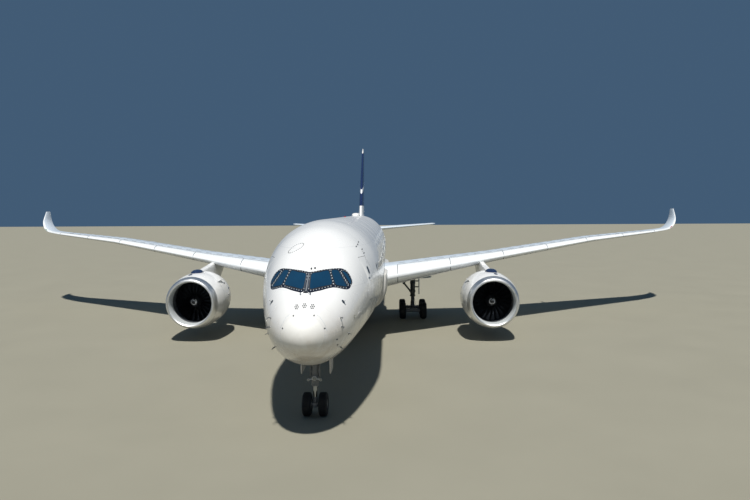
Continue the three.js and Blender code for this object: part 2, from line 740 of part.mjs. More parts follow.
{
  const { station, level, radius } = TAILPLANE_PIVOT;
  const [[x0, s0], [x1, s1]] = TAILPLANE_ROOT;
  const rate = (x1 - x0) / (s1 - s0);
  const [from, to] = [55, 68];
  const rootAt = (s) => x0 + rate * (s - s0);
  const cut = prism([
    [rootAt(from), from], [Math.max(rootAt(to), 0.05), to],
    [-Math.max(rootAt(to), 0.05), to], [-rootAt(from), from],
  ], 2, 5, 10);
  const shaft = rod([-2.2, station, level], [2.2, station, level], radius, radius, SHAFT_SIDES);
  const halves = SIDES.map(([, sign]) => surfaceLoft(TAILPLANE, 0, sign).subtract(cut));
  keep('tailplane', joined([...halves, shaft]), PAINT);
  // The bore has twice as many sides, so that the shaft's corners lie close to its flats
  const hole = boreFor(radius, 2 * SHAFT_SIDES);
  pieces.tail_cone.solid = pieces.tail_cone.solid.subtract(
    rod([-3, station, level], [3, station, level], hole, hole, 2 * SHAFT_SIDES),
  );
  hingeRecord('tailplane', [0, station, level], [1, 0, 0]);
  for (const [side, sign] of SIDES) {
    const [inner, outer] = ELEVATOR.ends.map((lateral) => (
      spanPoint(TAILPLANE, 0, lateral, ELEVATOR.fraction, sign)
    ));
    const name = `elevator_${side}`;
    const { surface } = controlSurface('tailplane', inner, outer, name, PAINT);
    keep(name, withHingePins(surface, inner.point, outer.point, outer.half * 0.5), PAINT);
    hingeRecord(name, inner.point, unitAxis(inner.point, outer.point));
  }
}

// Engines

function fanSolid() {
  const blades = [];
  for (let blade = 0; blade < FAN.blades; blade += 1) {
    const turn = (360 * blade) / FAN.blades;
    const rings = BLADE.map(([radius, chord, stagger, thickness, sweep]) => {
      const angle = THREE.MathUtils.degToRad(stagger);
      const corners = [[-0.5, 0], [-0.05, 0.5], [0.5, 0], [-0.05, -0.5]];
      return corners.map(([along, across]) => {
        const run = along * chord;
        const off = across * thickness;
        const round = run * Math.sin(angle) + off * Math.cos(angle);
        return [
          round,
          FAN.plane + sweep + run * Math.cos(angle) - off * Math.sin(angle),
          Math.sqrt(radius ** 2 - round ** 2),
        ];
      });
    });
    blades.push(loft(rings).rotate([0, turn, 0]));
  }
  return joined([revolve(SPINNER, 16), ...blades]);
}

const fan = fanSolid();

for (const [side, sign] of SIDES) {
  const { level, segments } = ENGINE;
  const lateral = sign * ENGINE.lateral;
  const nacelle = `nacelle_${side}`;
  keep(nacelle, revolve(ringProfile(NACELLE), segments, lateral, level), PAINT);
  keep(`fan_${side}`, fan.translate([lateral, 0, level]), FAN_METAL);
  hingeRecord(`fan_${side}`, [lateral, FAN.plane, level], [0, 1, 0]);
  // Core cowl with its outlet vanes and the upper strut, trimmed to the duct wall
  const vanes = [];
  for (let vane = 0; vane < VANES.count; vane += 1) {
    const plate = block(
      [-VANES.thickness / 2, VANES.station - VANES.chord / 2, 0.6],
      [VANES.thickness / 2, VANES.station + VANES.chord / 2, 1.7],
    );
    vanes.push(plate.rotate([0, (360 * (vane + 0.5)) / VANES.count, 0]));
  }
  const strut = block([-0.1, 25.3, 0.6], [0.1, 26.9, 1.7]);
  const wall = [...NACELLE.slice(7, 11)].map(([radius, station]) => [radius - SEAT, station]);
  const outside = revolve(
    ringProfile([[3, 22.8], [3, 28], [wall[0][0], 28], ...wall]), segments,
  );
  const bore = joined([revolve(CORE, 20), ...vanes, strut]).subtract(outside);
  keep(`engine_core_${side}`, largest(bore).translate([lateral, 0, level]), CORE_METAL);
  // Pylon, seated on the nacelle, the core and the wing
  const outline = (half) => PYLON.map(([station, z]) => [lateral + half, station, z]);
  const slab = loft([outline(-PYLON_HALF), outline(PYLON_HALF)]);
  const full = [[0, NACELLE[0][1]], ...NACELLE.slice(0, 7), [0, NACELLE[6][1]]];
  const filled = revolve(full, segments, lateral, level);
  let pylon = seated(slab, filled, [[0, 1, 0], [0, 0, 1]]);
  pylon = seated(pylon, pieces[`engine_core_${side}`].solid, [[0, 1, 0], [0, 0, 1]]);
  pylon = seated(pylon, pieces[`wing_${side}`].solid, [[0, -1, 0], [0, 0, -1], [0, 0, 1]]);
  keep(`pylon_${side}`, pylon, PAINT);
}

// Landing gear

const WHEEL_SIDES = 18;

// The first corner lies half a step off the top, so that a wheel stands on a flat
function wheelLathe(profile) {
  const points = profile.map(([radius, across]) => new THREE.Vector2(radius, across));
  const geometry = new THREE.LatheGeometry(points, WHEEL_SIDES, Math.PI / WHEEL_SIDES);
  geometry.rotateZ(-Math.PI / 2);
  return solidOf(geometry);
}

function tyreSolid(radius, width) {
  const half = width / 2;
  const bead = radius * 0.56;
  const tread = radius / Math.cos(Math.PI / WHEEL_SIDES); // to a corner, with the flats on the radius
  return wheelLathe(ringProfile([
    [bead, -half * 0.72], [radius * 0.8, -half], [tread * 0.965, -half * 0.74],
    [tread, -half * 0.2], [tread, half * 0.2], [tread * 0.965, half * 0.74],
    [radius * 0.8, half], [bead, half * 0.72],
  ]));
}

// Both rims of a wheel pair with the axle between them
function rimPair(radius, width, track, axle, housingHalf) {
  const bead = radius * 0.56 - SEAT;
  const half = width / 2;
  const rim = (centre) => wheelLathe([
    [0, centre - half * 0.3], [bead, centre - half * 0.74], [bead, centre + half * 0.74],
    [bead * 0.8, centre + half * 0.2], [0, centre + half * 0.5],
  ]);
  const shaft = rod([-track, 0, 0], [track, 0, 0], axle, axle, AXLE_SIDES);
  const collar = rod([housingHalf + SEAT, 0, 0], [track, 0, 0], axle + 0.03);
  return joined([
    rim(track), rim(track).mirror([1, 0, 0]), shaft, collar, collar.mirror([1, 0, 0]),
  ]);
}

const AXLE = { nose: 0.06, main: 0.085 };
const HOUSING_HALF = { nose: 0.14, main: 0.56 };
const AXLE_SIDES = 8;

function wheelPair(name, at, gear, kind) {
  const { tyreRadius: radius, tyreWidth: width, track } = gear;
  const rims = rimPair(radius, width, track, AXLE[kind], HOUSING_HALF[kind]);
  keep(`${name}_rims`, rims.translate(at), RIM_METAL);
  for (const [side, sign] of SIDES) {
    const centre = [at[0] + sign * track, at[1], at[2]];
    keep(`${name}_tyre_${side}`, tyreSolid(radius, width).translate(centre), RUBBER);
  }
  hingeRecord(name, at, [1, 0, 0]);
}

// Nose gear: a fixed leg, and a steered lower part with the axle housing
{
  const { station, tyreRadius, bayTop } = NOSE_GEAR;
  const collar = 1.6;
  const leg = joined([
    rod([0, station, bayTop + 0.3], [0, station, collar], 0.13, 0.13, 12),
    rod([-0.5, station, 3.1], [0.5, station, 3.1], 0.07),
    rod([0, station, 2.0], [0, station + 1.2, 3.3], 0.06),
    rod([-0.45, station + 1.2, 3.3], [0.45, station + 1.2, 3.3], 0.05),
    rod([0, station + 1.2, 3.3], [0, station + 1.2, bayTop + 0.3], 0.06),
    block([-0.3, station - 0.2, 1.62], [0.3, station - 0.1, 1.74]),
  ]);
  keep('nose_leg', seated(leg, pieces.nose_section.solid, [[0, 0, -1], [1, 0, 0], [-1, 0, 0]]), LEG_METAL);
  const housing = boreFor(AXLE.nose, AXLE_SIDES);
  const steered = joined([
    rod([0, station, collar - SEAT], [0, station, 1.36], 0.15, 0.15, 12),
    rod([0, station, 1.4], [0, station, tyreRadius], 0.085),
    rod(
      [-HOUSING_HALF.nose, station, tyreRadius], [HOUSING_HALF.nose, station, tyreRadius], 0.11,
    ),
    rod([0, station + 0.1, 1.45], [0, station + 0.42, 1.0], 0.035),
    rod([0, station + 0.42, 1.0], [0, station + 0.05, 0.6], 0.035),
    block([-0.08, station - TOW_LUG, tyreRadius - 0.1], [0.08, station, tyreRadius + 0.1]),
  ]).subtract(rod([-0.3, station, tyreRadius], [0.3, station, tyreRadius], housing));
  keep('nose_steering', steered, LEG_METAL);
  hingeRecord('nose_steering', [0, station, collar], [0, 0, 1]);
  wheelPair('nose_wheels', [0, station, tyreRadius], NOSE_GEAR, 'nose');
  // Rear doors of the bay, hanging open beside the leg
  for (const [side, sign] of SIDES) {
    const x = sign * (NOSE_BAY.half + 0.02);
    const plate = block(
      [Math.min(x, x + sign * 0.05), station + 0.25, 1.8],
      [Math.max(x, x + sign * 0.05), NOSE_BAY.to - 0.15, 2.8],
    );
    keep(`nose_gear_door_${side}`, seated(plate, pieces.nose_section.solid, [[0, 0, -1], [sign, 0, 0]]), PAINT);
  }
}

// Main gear: a leg from the wing to a four-wheel bogie on each side
for (const [side, sign] of SIDES) {
  const { station, tyreRadius, axleOffset, legTopStation } = MAIN_GEAR;
  const x = sign * MAIN_GEAR.lateral;
  const pivot = [x, station, tyreRadius + 0.06];
  const housing = boreFor(AXLE.main, AXLE_SIDES);
  const top = [x, legTopStation, 4.1];
  const leg = joined([
    rod(pivot, top, 0.2, 0.22, 12),
    rod([x, station - axleOffset, tyreRadius], [x, station + axleOffset, tyreRadius], 0.15),
    ...[-1, 1].map((end) => rod(
      [x - HOUSING_HALF.main, station + end * axleOffset, tyreRadius],
      [x + HOUSING_HALF.main, station + end * axleOffset, tyreRadius], 0.14,
    )),
    rod([x - 0.28, station, pivot[2]], [x + 0.28, station, pivot[2]], 0.19),
    rod([x, station - 0.25, 2.0], [x - sign * 1.5, legTopStation - 0.2, 3.9], 0.09),
    rod([x, station - 0.3, 1.9], [x + sign * 0.1, legTopStation - 1.8, 4.0], 0.08),
    rod([x, station - 0.15, 1.2], [x, station + 0.55, 1.0], 0.05),
    rod([x, station + 0.55, 1.0], [x, station + 0.1, 2.2], 0.05),
    block(
      [Math.min(x + sign * 0.5, x + sign * 0.56), station - 0.75, 2.0],
      [Math.max(x + sign * 0.5, x + sign * 0.56), station + 0.3, 3.4],
    ),
    rod([x, station - 0.2, 2.6], [x + sign * 0.53, station - 0.2, 2.6], 0.06),
    rod([x, station - 0.2, 3.1], [x + sign * 0.53, station - 0.2, 3.1], 0.06),
  ]).subtract(joined([-1, 1].map((end) => rod(
    [x - 0.7, station + end * axleOffset, tyreRadius],
    [x + 0.7, station + end * axleOffset, tyreRadius], housing,
  ))));
  let fitted = seated(leg, pieces[`wing_${side}`].solid, [[0, 0, -1]]);
  fitted = seated(fitted, pieces.belly_fairing.solid, [[sign, 0, 0], [0, 0, -1]]);
  keep(`main_leg_${side}`, fitted, LEG_METAL);
  for (const [end, sense] of [['front', -1], ['rear', 1]]) {
    const at = [x, station + sense * axleOffset, tyreRadius];
    const name = `main_wheels_${end}_${side}`;
    wheelPair(name, at, MAIN_GEAR, 'main');
  }
}

Object.keys(pieces).forEach(emit);
airliner.userData.hinges = hinges;

export default airliner;
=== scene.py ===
# %% [markdown]
# A half-size model of a wide-body airliner, dressed for the camera.
# The solids come packed, in one fixed frame: the origin is on the ground under the middle of
# the aircraft, X points to port, Y aft and Z up. This lesson builds a smooth surface over each
# faceted solid, adds the small fittings that a real airliner carries, and paints everything.

# %% Load the fixed frame
import math

import bmesh
import bpy
import numpy as np
from mathutils import Matrix, Vector, geometry
from mathutils.bvhtree import BVHTree
from mathutils.interpolate import poly_3d_calc


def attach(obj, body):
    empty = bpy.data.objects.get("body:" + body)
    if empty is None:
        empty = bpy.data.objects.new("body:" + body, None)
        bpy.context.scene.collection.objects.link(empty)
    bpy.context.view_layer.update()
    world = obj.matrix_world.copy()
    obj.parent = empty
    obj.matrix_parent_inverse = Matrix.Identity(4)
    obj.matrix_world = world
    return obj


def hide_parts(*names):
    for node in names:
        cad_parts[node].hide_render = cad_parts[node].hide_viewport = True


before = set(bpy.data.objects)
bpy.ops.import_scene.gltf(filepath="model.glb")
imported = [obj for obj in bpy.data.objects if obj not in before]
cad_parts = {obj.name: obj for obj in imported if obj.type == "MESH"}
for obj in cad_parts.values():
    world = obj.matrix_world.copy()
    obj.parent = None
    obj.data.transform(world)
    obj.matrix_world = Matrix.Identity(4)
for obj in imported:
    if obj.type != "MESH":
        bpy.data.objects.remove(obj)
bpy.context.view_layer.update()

SIDES = (("left", 1), ("right", -1))

# %% [markdown]
# Aircraft drawings give every place by a station, measured aft from the nose tip, a distance to
# the side and a height. All shapes below are written that way in real metres, as (side, station,
# height), and one function brings them to the half-size model.

# %% Real metres to the model's frame
MODEL_SCALE = 0.5
LENGTH = 66.8
MILLIMETRE = 0.001


def model(points):
    """Points in real metres, as they lie in the model's frame."""
    return (np.asarray(points, float) - (0, LENGTH / 2, 0)) * MODEL_SCALE


print("nose tip in the model's frame:", model((0, 0, 4.35)))

# %% [markdown]
# The camera comes first, because it says how large a detail has to be to show. The picture was
# taken from a window about nine metres up and twenty-five metres ahead of the nose, looking
# slightly down. The turn, tilt and roll were solved from the wheels, engines, wing tip and fin.

# %% Camera
CAMERA_PLACE = (1.6475, -29.319, 4.517)
CAMERA_TURN = -0.0206
CAMERA_TILT = 0.056
CAMERA_ROLL = -0.005

forward = Vector((
    math.sin(CAMERA_TURN) * math.cos(CAMERA_TILT),
    math.cos(CAMERA_TURN) * math.cos(CAMERA_TILT),
    -math.sin(CAMERA_TILT),
))
across = Vector((math.cos(CAMERA_TURN), -math.sin(CAMERA_TURN), 0))
upward = across.cross(forward)
camera_x = across * math.cos(CAMERA_ROLL) + upward * math.sin(CAMERA_ROLL)
camera_y = upward * math.cos(CAMERA_ROLL) - across * math.sin(CAMERA_ROLL)

lens = bpy.data.cameras.new("camera")
lens.sensor_width = 36
lens.lens = 32.8
lens.clip_end = 500
camera = bpy.data.objects.new("camera", lens)
turn = Matrix((camera_x, camera_y, -forward)).transposed().to_4x4()
camera.matrix_world = Matrix.Translation(CAMERA_PLACE) @ turn
bpy.context.scene.collection.objects.link(camera)
bpy.context.scene.camera = camera
print("camera height in real metres:", CAMERA_PLACE[2] / MODEL_SCALE)

# %% [markdown]
# The studio is a pale floor and soft light. A sun stands high and straight ahead of the nose, so
# the crown is bright and both flanks lie in their own shade. A blue sky fills that shade, the
# floor throws warm light up onto the belly, and a broad low fill from ahead whitens the nose.

# %% Light and floor
def srgb(code):
    """A hex colour as the linear values that Blender works in."""
    channels = [int(code[k:k + 2], 16) / 255 for k in (0, 2, 4)]
    linear = [c / 12.92 if c <= 0.04045 else ((c + 0.055) / 1.055) ** 2.4 for c in channels]
    return (*linear, 1)


# name, direction, energy, apparent width in degrees, colour
LIGHTS = (
    ("studio_sun", (-0.03, 0.5, -1), 4.9, 2, "fffaf2"), ("low_front_fill", (0, 1, -0.1), 0.12, 30, "eef5ff"),
)
for name, direction, energy, width, code in LIGHTS:
    lamp_data = bpy.data.lights.new(name, "SUN")
    lamp_data.energy = energy
    lamp_data.angle = math.radians(width)
    lamp_data.color = srgb(code)[:3]
    studio_lamp = bpy.data.objects.new(name, lamp_data)
    studio_lamp.rotation_euler = Vector(direction).to_track_quat("-Z", "Y").to_euler()
    bpy.context.scene.collection.objects.link(studio_lamp)

sky = bpy.data.worlds.new("studio")
sky.use_nodes = True
sky.node_tree.nodes["Background"].inputs["Color"].default_value = srgb("8fc0f2")
sky.node_tree.nodes["Background"].inputs["Strength"].default_value = 0.2
bpy.context.scene.world = sky
bpy.context.scene.view_settings.view_transform = "Standard"

FLOOR_HALF = 200
floor_mesh = bpy.data.meshes.new("studio_floor")
corners = ((-1, -1), (1, -1), (1, 1), (-1, 1))
floor_mesh.from_pydata([(x * FLOOR_HALF, y * FLOOR_HALF, 0) for x, y in corners], [], [(0, 1, 2, 3)])
studio_floor = bpy.data.objects.new("studio_floor", floor_mesh)
bpy.context.scene.collection.objects.link(studio_floor)
print("floor half width:", FLOOR_HALF)

# %% [markdown]
# Every finish is a small tree of nodes. One function adds a node, with its settings and what is
# plugged into it. A second builds the base that most finishes share: two close shades mixed in
# soft patches, a roughness that wanders, and a fine bump, all at sizes measured in millimetres.

# %% Nodes and the shared base of the finishes
MIX_A, MIX_B, MIX_OUT = 6, 7, 2  # the colour sockets of a Mix node


def node(tree, kind, plugs=(), out=0, **settings):
    """Adds a node and gives one of its outputs. Each plug is a socket and a value or an output."""
    made = tree.nodes.new(kind)
    for key, value in settings.items():
        setattr(made, key, value)
    for key, value in dict(plugs).items():
        if isinstance(value, bpy.types.NodeSocket):
            tree.links.new(value, made.inputs[key])
        else:
            made.inputs[key].default_value = value
    return made.outputs[out]


def finish(name, shades, patch_mm, rough, bump_mm=0.0, grain_mm=30.0, coat=(0.0, 0.03), **sockets):
    """A material with two shades in patches, a range of roughness, a bump that deep and a coat.

    The coat is its weight and roughness. What isn't given keeps the shader's own value, an IOR of 1.5.
    """
    material = bpy.data.materials.new(name)
    material.use_nodes = True
    tree = material.node_tree
    shader = tree.nodes["Principled BSDF"].inputs
    for key, value in {"Coat Weight": coat[0], "Coat Roughness": coat[1], **sockets}.items():
        shader[key].default_value = value
    place = node(tree, "ShaderNodeTexCoord", out="Object")
    patches = node(tree, "ShaderNodeTexNoise", {
        "Vector": place, "Scale": 1 / (patch_mm * MILLIMETRE), "Detail": 5.0, "Roughness": 0.6,
    })
    tree.links.new(node(tree, "ShaderNodeMix", {
        0: patches, MIX_A: srgb(shades[0]), MIX_B: srgb(shades[1]),
    }, MIX_OUT, data_type="RGBA"), shader["Base Color"])
    tree.links.new(node(tree, "ShaderNodeMapRange", {
        "Value": patches, "From Min": 0.3, "From Max": 0.7, "To Min": rough[0], "To Max": rough[1],
    }), shader["Roughness"])
    if bump_mm:
        grain = node(tree, "ShaderNodeTexNoise", {
            "Vector": place, "Scale": 1 / (grain_mm * MILLIMETRE), "Detail": 3.0,
        })
        tree.links.new(node(tree, "ShaderNodeBump", {
            "Height": grain, "Distance": bump_mm * MILLIMETRE, "Strength": 1.0,
        }), shader["Normal"])
    return material


FLOOR_PATCH_MM = 2500
floor_paint = finish("studio_floor_paint", ("878577", "8e8c7e"), FLOOR_PATCH_MM, (0.75, 0.85))
floor_mesh.materials.append(floor_paint)
print("floor finish:", floor_paint.name)

# %% [markdown]
# Shapes are lists of points and faces until they are finished. A loft joins rings of points, as
# a boat's planks join its frames. A revolve is a loft of circles, and a tube is one along a path.

# %% Shapes from rings
def circle(sides):
    """Even angles once round."""
    return np.linspace(0, 2 * np.pi, sides, endpoint=False)


def unit(vectors):
    """The same directions, each one long."""
    return vectors / np.linalg.norm(vectors, axis=-1, keepdims=True)


def spots(*coordinates):
    """Points from their coordinates, each a row of numbers or one number for all."""
    return np.stack(np.broadcast_arrays(*coordinates), -1)


def loft(rings, ends="capped"):
    """Points and faces through rings of equal count; the ends are capped, open or joined."""
    rings = np.asarray(rings, float)
    count, around = rings.shape[:2]
    last = count if ends == "joined" else count - 1
    ring, k = np.meshgrid(np.arange(last), np.arange(around), indexing="ij")
    nearer, after, turned = ring * around, (ring + 1) % count * around, (k + 1) % around
    faces = spots(nearer + k, nearer + turned, after + turned, after + k).reshape(-1, 4).tolist()
    if ends == "capped":
        faces += [list(range(around))[::-1], list(range((count - 1) * around, count * around))]
    return rings.reshape(-1, 3), faces


def revolve(profile, segments, ends="capped"):
    """A profile of (radius, station) turned round a fore-and-aft line."""
    angles = circle(segments)
    return loft([spots(radius * np.sin(angles), station, radius * np.cos(angles))
                 for radius, station in profile], ends)


def wheel_turned(profile, segments, centre=(0, 0, 0)):
    """A profile of (radius, side) turned round an axle that lies across the aircraft."""
    points, faces = revolve(profile, segments, "joined")
    return points[:, [1, 0, 2]] + centre, faces


def tube(path, radii, sides=20):
    """A round bar along a path, with one radius or a radius at each point."""
    path = np.asarray(path, float)
    along = unit(np.gradient(path, axis=0))
    side = np.cross(along[0], np.eye(3)[np.abs(along[0]).argmin()])
    angles = circle(sides)[:, None]
    rings = []
    for point, direction, radius in zip(path, along, np.broadcast_to(radii, len(path))):
        side = unit(side - direction * (side @ direction))
        rings.append(point + radius * (np.cos(angles) * side + np.sin(angles) * np.cross(direction, side)))
    return loft(rings)


def block(low, high):
    """A box between two corners."""
    (x0, y0, z0), (x1, y1, z1) = low, high
    return loft([[(x, y, z) for x, y in ((x0, y0), (x1, y0), (x1, y1), (x0, y1))] for z in (z0, z1)])


def curve(points, steps=6):
    """A smooth line through a few points, by cubic pieces that pass through each."""
    points = np.asarray(points, float)
    reach = np.vstack([2 * points[0] - points[1], points, 2 * points[-1] - points[-2]])
    t = np.linspace(0, 1, steps, endpoint=False)[:, None]
    line = [(2 * b + (c - a) * t + (2 * a - 5 * b + 4 * c - d) * t**2 + (3 * b - a - 3 * c + d) * t**3) / 2
            for a, b, c, d in zip(reach, reach[1:], reach[2:], reach[3:])]
    return np.vstack([*line, points[-1:]])


print("smooth line through 3 points has", len(curve([(0, 0), (1, 1), (2, 0)])), "points")

# %% [markdown]
# A piece is made at the end: points that meet are welded, faces turned outward and edges marked.
# It then gets its finishes, the body that it rides on and the solids that it stands for.

# %% From shapes to pieces
def merged(shapes):
    """Several shapes as one."""
    points, faces, first = [], [], 0
    for more_points, more_faces in shapes:
        points.append(more_points)
        faces += [[first + k for k in face] for face in more_faces]
        first += len(more_points)
    return np.vstack(points), faces


def placed(shape, offset):
    """A shape moved by an offset."""
    return shape[0] + np.asarray(offset, float), shape[1]


def rolled(shape, degrees):
    """A shape turned about the fore-and-aft line through the origin."""
    matrix = np.array(Matrix.Rotation(math.radians(degrees), 3, Vector((0, 1, 0))))
    return shape[0] @ matrix.T, shape[1]


def solid(name, shape, *finishes):
    """A shape as a Blender object, welded and with its faces turned outward."""
    mesh = bpy.data.meshes.new(name)
    mesh.from_pydata(model(shape[0]).tolist(), [], [list(face) for face in shape[1]])
    work = bmesh.new()
    work.from_mesh(mesh)
    bmesh.ops.remove_doubles(work, verts=work.verts, dist=WELD)
    bmesh.ops.recalc_face_normals(work, faces=work.faces)
    work.to_mesh(mesh)
    work.free()
    for material in finishes:
        mesh.materials.append(material)
    made = bpy.data.objects.new(name, mesh)
    bpy.context.scene.collection.objects.link(made)
    return made


WELD = 2e-6  # points closer than this, in metres of the model, are one
tally = {}


def read(items, key, width=1, kind=float):
    """One measure of every item of a mesh, as an array."""
    values = np.empty(width * len(items), kind)
    items.foreach_get(key, values)
    return values


def dressed(made, body, stands_for=(), pick=None, sharp=32):
    """Gives an object its body, the solids that it stands for and its shading."""
    mesh = made.data
    if pick is not None:
        real = read(mesh.polygons, "center", 3).reshape(-1, 3) / MODEL_SCALE + (0, LENGTH / 2, 0)
        mesh.polygons.foreach_set("material_index", np.asarray(pick(real), np.int32))
    if not mesh.has_custom_normals:
        mesh.shade_smooth()
        mesh.set_sharp_from_angle(angle=math.radians(sharp))
    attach(made, body)
    if stands_for:
        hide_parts(*stands_for)
    tally[made.name] = sum(len(face.vertices) - 2 for face in mesh.polygons)


def piece(name, shape, finishes, body="airframe", stands_for=(), pick=None, sharp=32, at=0):
    """One finished piece, from a shape or a list of them that is moved to its place."""
    shape = merged(shape) if isinstance(shape, list) else shape
    finishes = finishes if isinstance(finishes, list) else [finishes]
    dressed(solid(name, placed(shape, at), *finishes), body, stands_for, pick, sharp)


print("points closer than", WELD * 1e6, "micrometres are welded")

# %% [markdown]
# Openings are cut with Blender's exact boolean. Cut faces are long and thin, and Blender would
# shade them with dark smears. The cure is to keep the shape before the cut: every corner that
# still lies on the old skin takes the normal that the smooth skin has at that place.

# %% Cutting, and shading that follows the uncut skin
def with_boolean(made, cutters, operation="DIFFERENCE"):
    """Takes the cutters away from an object, or keeps what it has in common with them."""
    for cutter in cutters:
        step = made.modifiers.new("cut", "BOOLEAN")
        step.object = cutter
        step.operation = operation
        step.solver = "EXACT"
        step.material_mode = "TRANSFER"
    graph = bpy.context.evaluated_depsgraph_get()
    result = bpy.data.meshes.new_from_object(made.evaluated_get(graph))
    made.modifiers.clear()
    made.data = result


def removed(objects):
    """Takes helper objects out of the scene."""
    for helper in objects:
        bpy.data.objects.remove(helper)


class Skin:
    """The smooth surface that a piece was cut from."""

    def __init__(self, shape):
        points, self.faces = model(shape[0]), shape[1]
        self.points = [Vector(p) for p in points]
        corners = np.array([(*face[:2], *(face[2:4] if len(face) > 3 else face[1:3]))
                            for face in self.faces])
        a, b, c, d = points[corners].transpose(1, 0, 2)
        total = np.zeros_like(points)
        for face, normal in zip(self.faces, np.cross(c - a, d - b)):
            total[face] += normal
        self.normals = total / np.maximum(np.linalg.norm(total, axis=1)[:, None], 1e-12)
        self.tree = BVHTree.FromPolygons(self.points, self.faces)

    def normal_at(self, point):
        """The smooth normal where the skin passes closest to a point."""
        near, _, index, _ = self.tree.find_nearest(point)
        face = self.faces[index]
        weights = poly_3d_calc([self.points[k] for k in face], near)
        return np.asarray(weights) @ self.normals[face]

    def shade(self, made):
        """Gives the corners that lie on this skin its normals, and the cut walls their own."""
        mesh = made.data
        at = np.array([self.normal_at(vertex.co) for vertex in mesh.vertices])
        at /= np.maximum(np.linalg.norm(at, axis=1)[:, None], 1e-12)
        flat = np.repeat(read(mesh.polygons, "normal", 3).reshape(-1, 3),
                         read(mesh.polygons, "loop_total", kind=np.int32), axis=0)
        smooth = at[read(mesh.loops, "vertex_index", kind=np.int32)]
        facing = np.einsum("ij,ij->i", smooth, flat)[:, None]
        smooth = np.where(facing < 0, -smooth, smooth)
        mesh.normals_split_custom_set(np.where(np.abs(facing) > SKIN_AGREEMENT, smooth, flat).tolist())


SKIN_AGREEMENT = 0.88  # how well a face must agree with the skin to be shaded as part of it
print("skin agreement:", SKIN_AGREEMENT)

# %% [markdown]
# The fuselage of the real one is a row of barrels. Its sections are two half ellipses on one
# width, given at a few stations. Between them every measure follows a monotone cubic in the
# square root of the station, which rounds the nose tip and never bulges past a given section.

# %% Fuselage sections
# station, half width, top, bottom, level of the greatest width
FUSELAGE = np.array([
    (0.0, 0.0, 4.35, 4.35, 4.35), (0.1, 0.42, 4.74, 3.98, 4.35), (0.4, 0.8, 5.12, 3.64, 4.37),
    (0.9, 1.16, 5.5, 3.29, 4.42), (1.6, 1.49, 5.9, 2.98, 4.53), (2.5, 1.79, 6.42, 2.74, 4.72),
    (3.6, 2.06, 7.05, 2.6, 4.97), (5.0, 2.34, 7.72, 2.555, 5.25), (7.0, 2.66, 8.32, 2.555, 5.48),
    (9.5, 2.91, 8.6, 2.555, 5.58), (12.0, 2.98, 8.645, 2.555, 5.6), (44.0, 2.98, 8.645, 2.56, 5.6),
    (48.0, 2.93, 8.64, 2.85, 5.66), (52.0, 2.65, 8.6, 3.55, 5.95), (56.0, 2.12, 8.48, 4.55, 6.45),
    (60.0, 1.42, 8.25, 5.6, 6.93), (63.0, 0.8, 7.95, 6.4, 7.18), (65.3, 0.3, 7.65, 7.0, 7.33),
])
FUSELAGE_SIDES = 96
TIP = 0.0005  # the smallest station that is looked up, just aft of the nose tip
NOSE_END = 12.0  # aft of this station the hull keeps its section
TAIL_END = float(FUSELAGE[-1, 0])


def section(station):
    """Half width, top, bottom and widest level at one or many stations."""
    knots = np.sqrt(FUSELAGE[:, 0])
    at = np.sqrt(np.clip(station, TIP, TAIL_END))
    i = np.clip(np.searchsorted(knots, at) - 1, 0, len(knots) - 2)
    gaps = np.diff(knots)[:, None]
    slopes = np.diff(FUSELAGE[:, 1:], axis=0) / gaps
    product = slopes[:-1] * slopes[1:]
    inner = np.where(product > 0, 2 * product / np.where(product > 0, slopes[:-1] + slopes[1:], 1), 0)
    tangents = np.vstack([slopes[:1], inner, slopes[-1:]])
    span = gaps[i]
    t = ((at - knots[i]) / span[..., 0])[..., None]
    blend = (FUSELAGE[i, 1:] * (1 + 2 * t) * (1 - t) ** 2 + FUSELAGE[i + 1, 1:] * t ** 2 * (3 - 2 * t)
             + tangents[i] * span * t * (1 - t) ** 2 - tangents[i + 1] * span * t ** 2 * (1 - t))
    return np.moveaxis(blend, -1, 0)


def fuselage_rings(stations, inset=0.0):
    """Rings of the fuselage, moved in from the skin."""
    angles = circle(FUSELAGE_SIDES)
    rings = []
    for station in stations:
        half, top, bottom, wide = section(np.array(float(station)))
        rise = np.where(np.cos(angles) > 0, top - wide, wide - bottom)
        rings.append(spots(max(half - inset, 0) * np.sin(angles), station,
                           wide + np.maximum(rise - inset, 0) * np.cos(angles)))
    return rings


print("half width at station 30:", round(float(section(np.array(30.0))[0]), 3), "m")

# %% [markdown]
# Doors, windows and hatches lie in the skin. Each is drawn as a flat outline, from the side or
# from ahead, and every point of it is then sent onto the skin along that line of sight. The
# outline is filled with even triangles, so that a plate of any shape follows the double curve.

# %% Plates that follow the skin
HALVINGS = 40  # how often the search for a point on the nose halves its range


def from_side(sign):
    """Sends (station, level) sideways onto the skin."""
    def send(flat):
        half, top, bottom, wide = section(flat[:, 0])
        rise = np.where(flat[:, 1] > wide, top - wide, wide - bottom)
        inside = np.clip(1 - ((flat[:, 1] - wide) / rise) ** 2, 0, 1)
        return spots(sign * half * np.sqrt(inside), flat[:, 0], flat[:, 1])
    return send


def from_above(flat, under=False):
    """Sends (side, station) down onto the crown, or up onto the belly."""
    half, top, bottom, wide = section(flat[:, 1])
    inside = np.clip(1 - (flat[:, 0] / half) ** 2, 0, 1)
    return spots(flat[:, 0], flat[:, 1], wide + ((bottom if under else top) - wide) * np.sqrt(inside))


def from_below(flat):
    """Sends (side, station) up onto the belly."""
    return from_above(flat, under=True)


def roundness(side, station, level):
    """How far out a point lies: less than 1 inside the hull, more outside."""
    half, top, bottom, wide = section(station)
    rise = np.where(level > wide, top - wide, wide - bottom)
    return (side / half) ** 2 + ((level - wide) / rise) ** 2


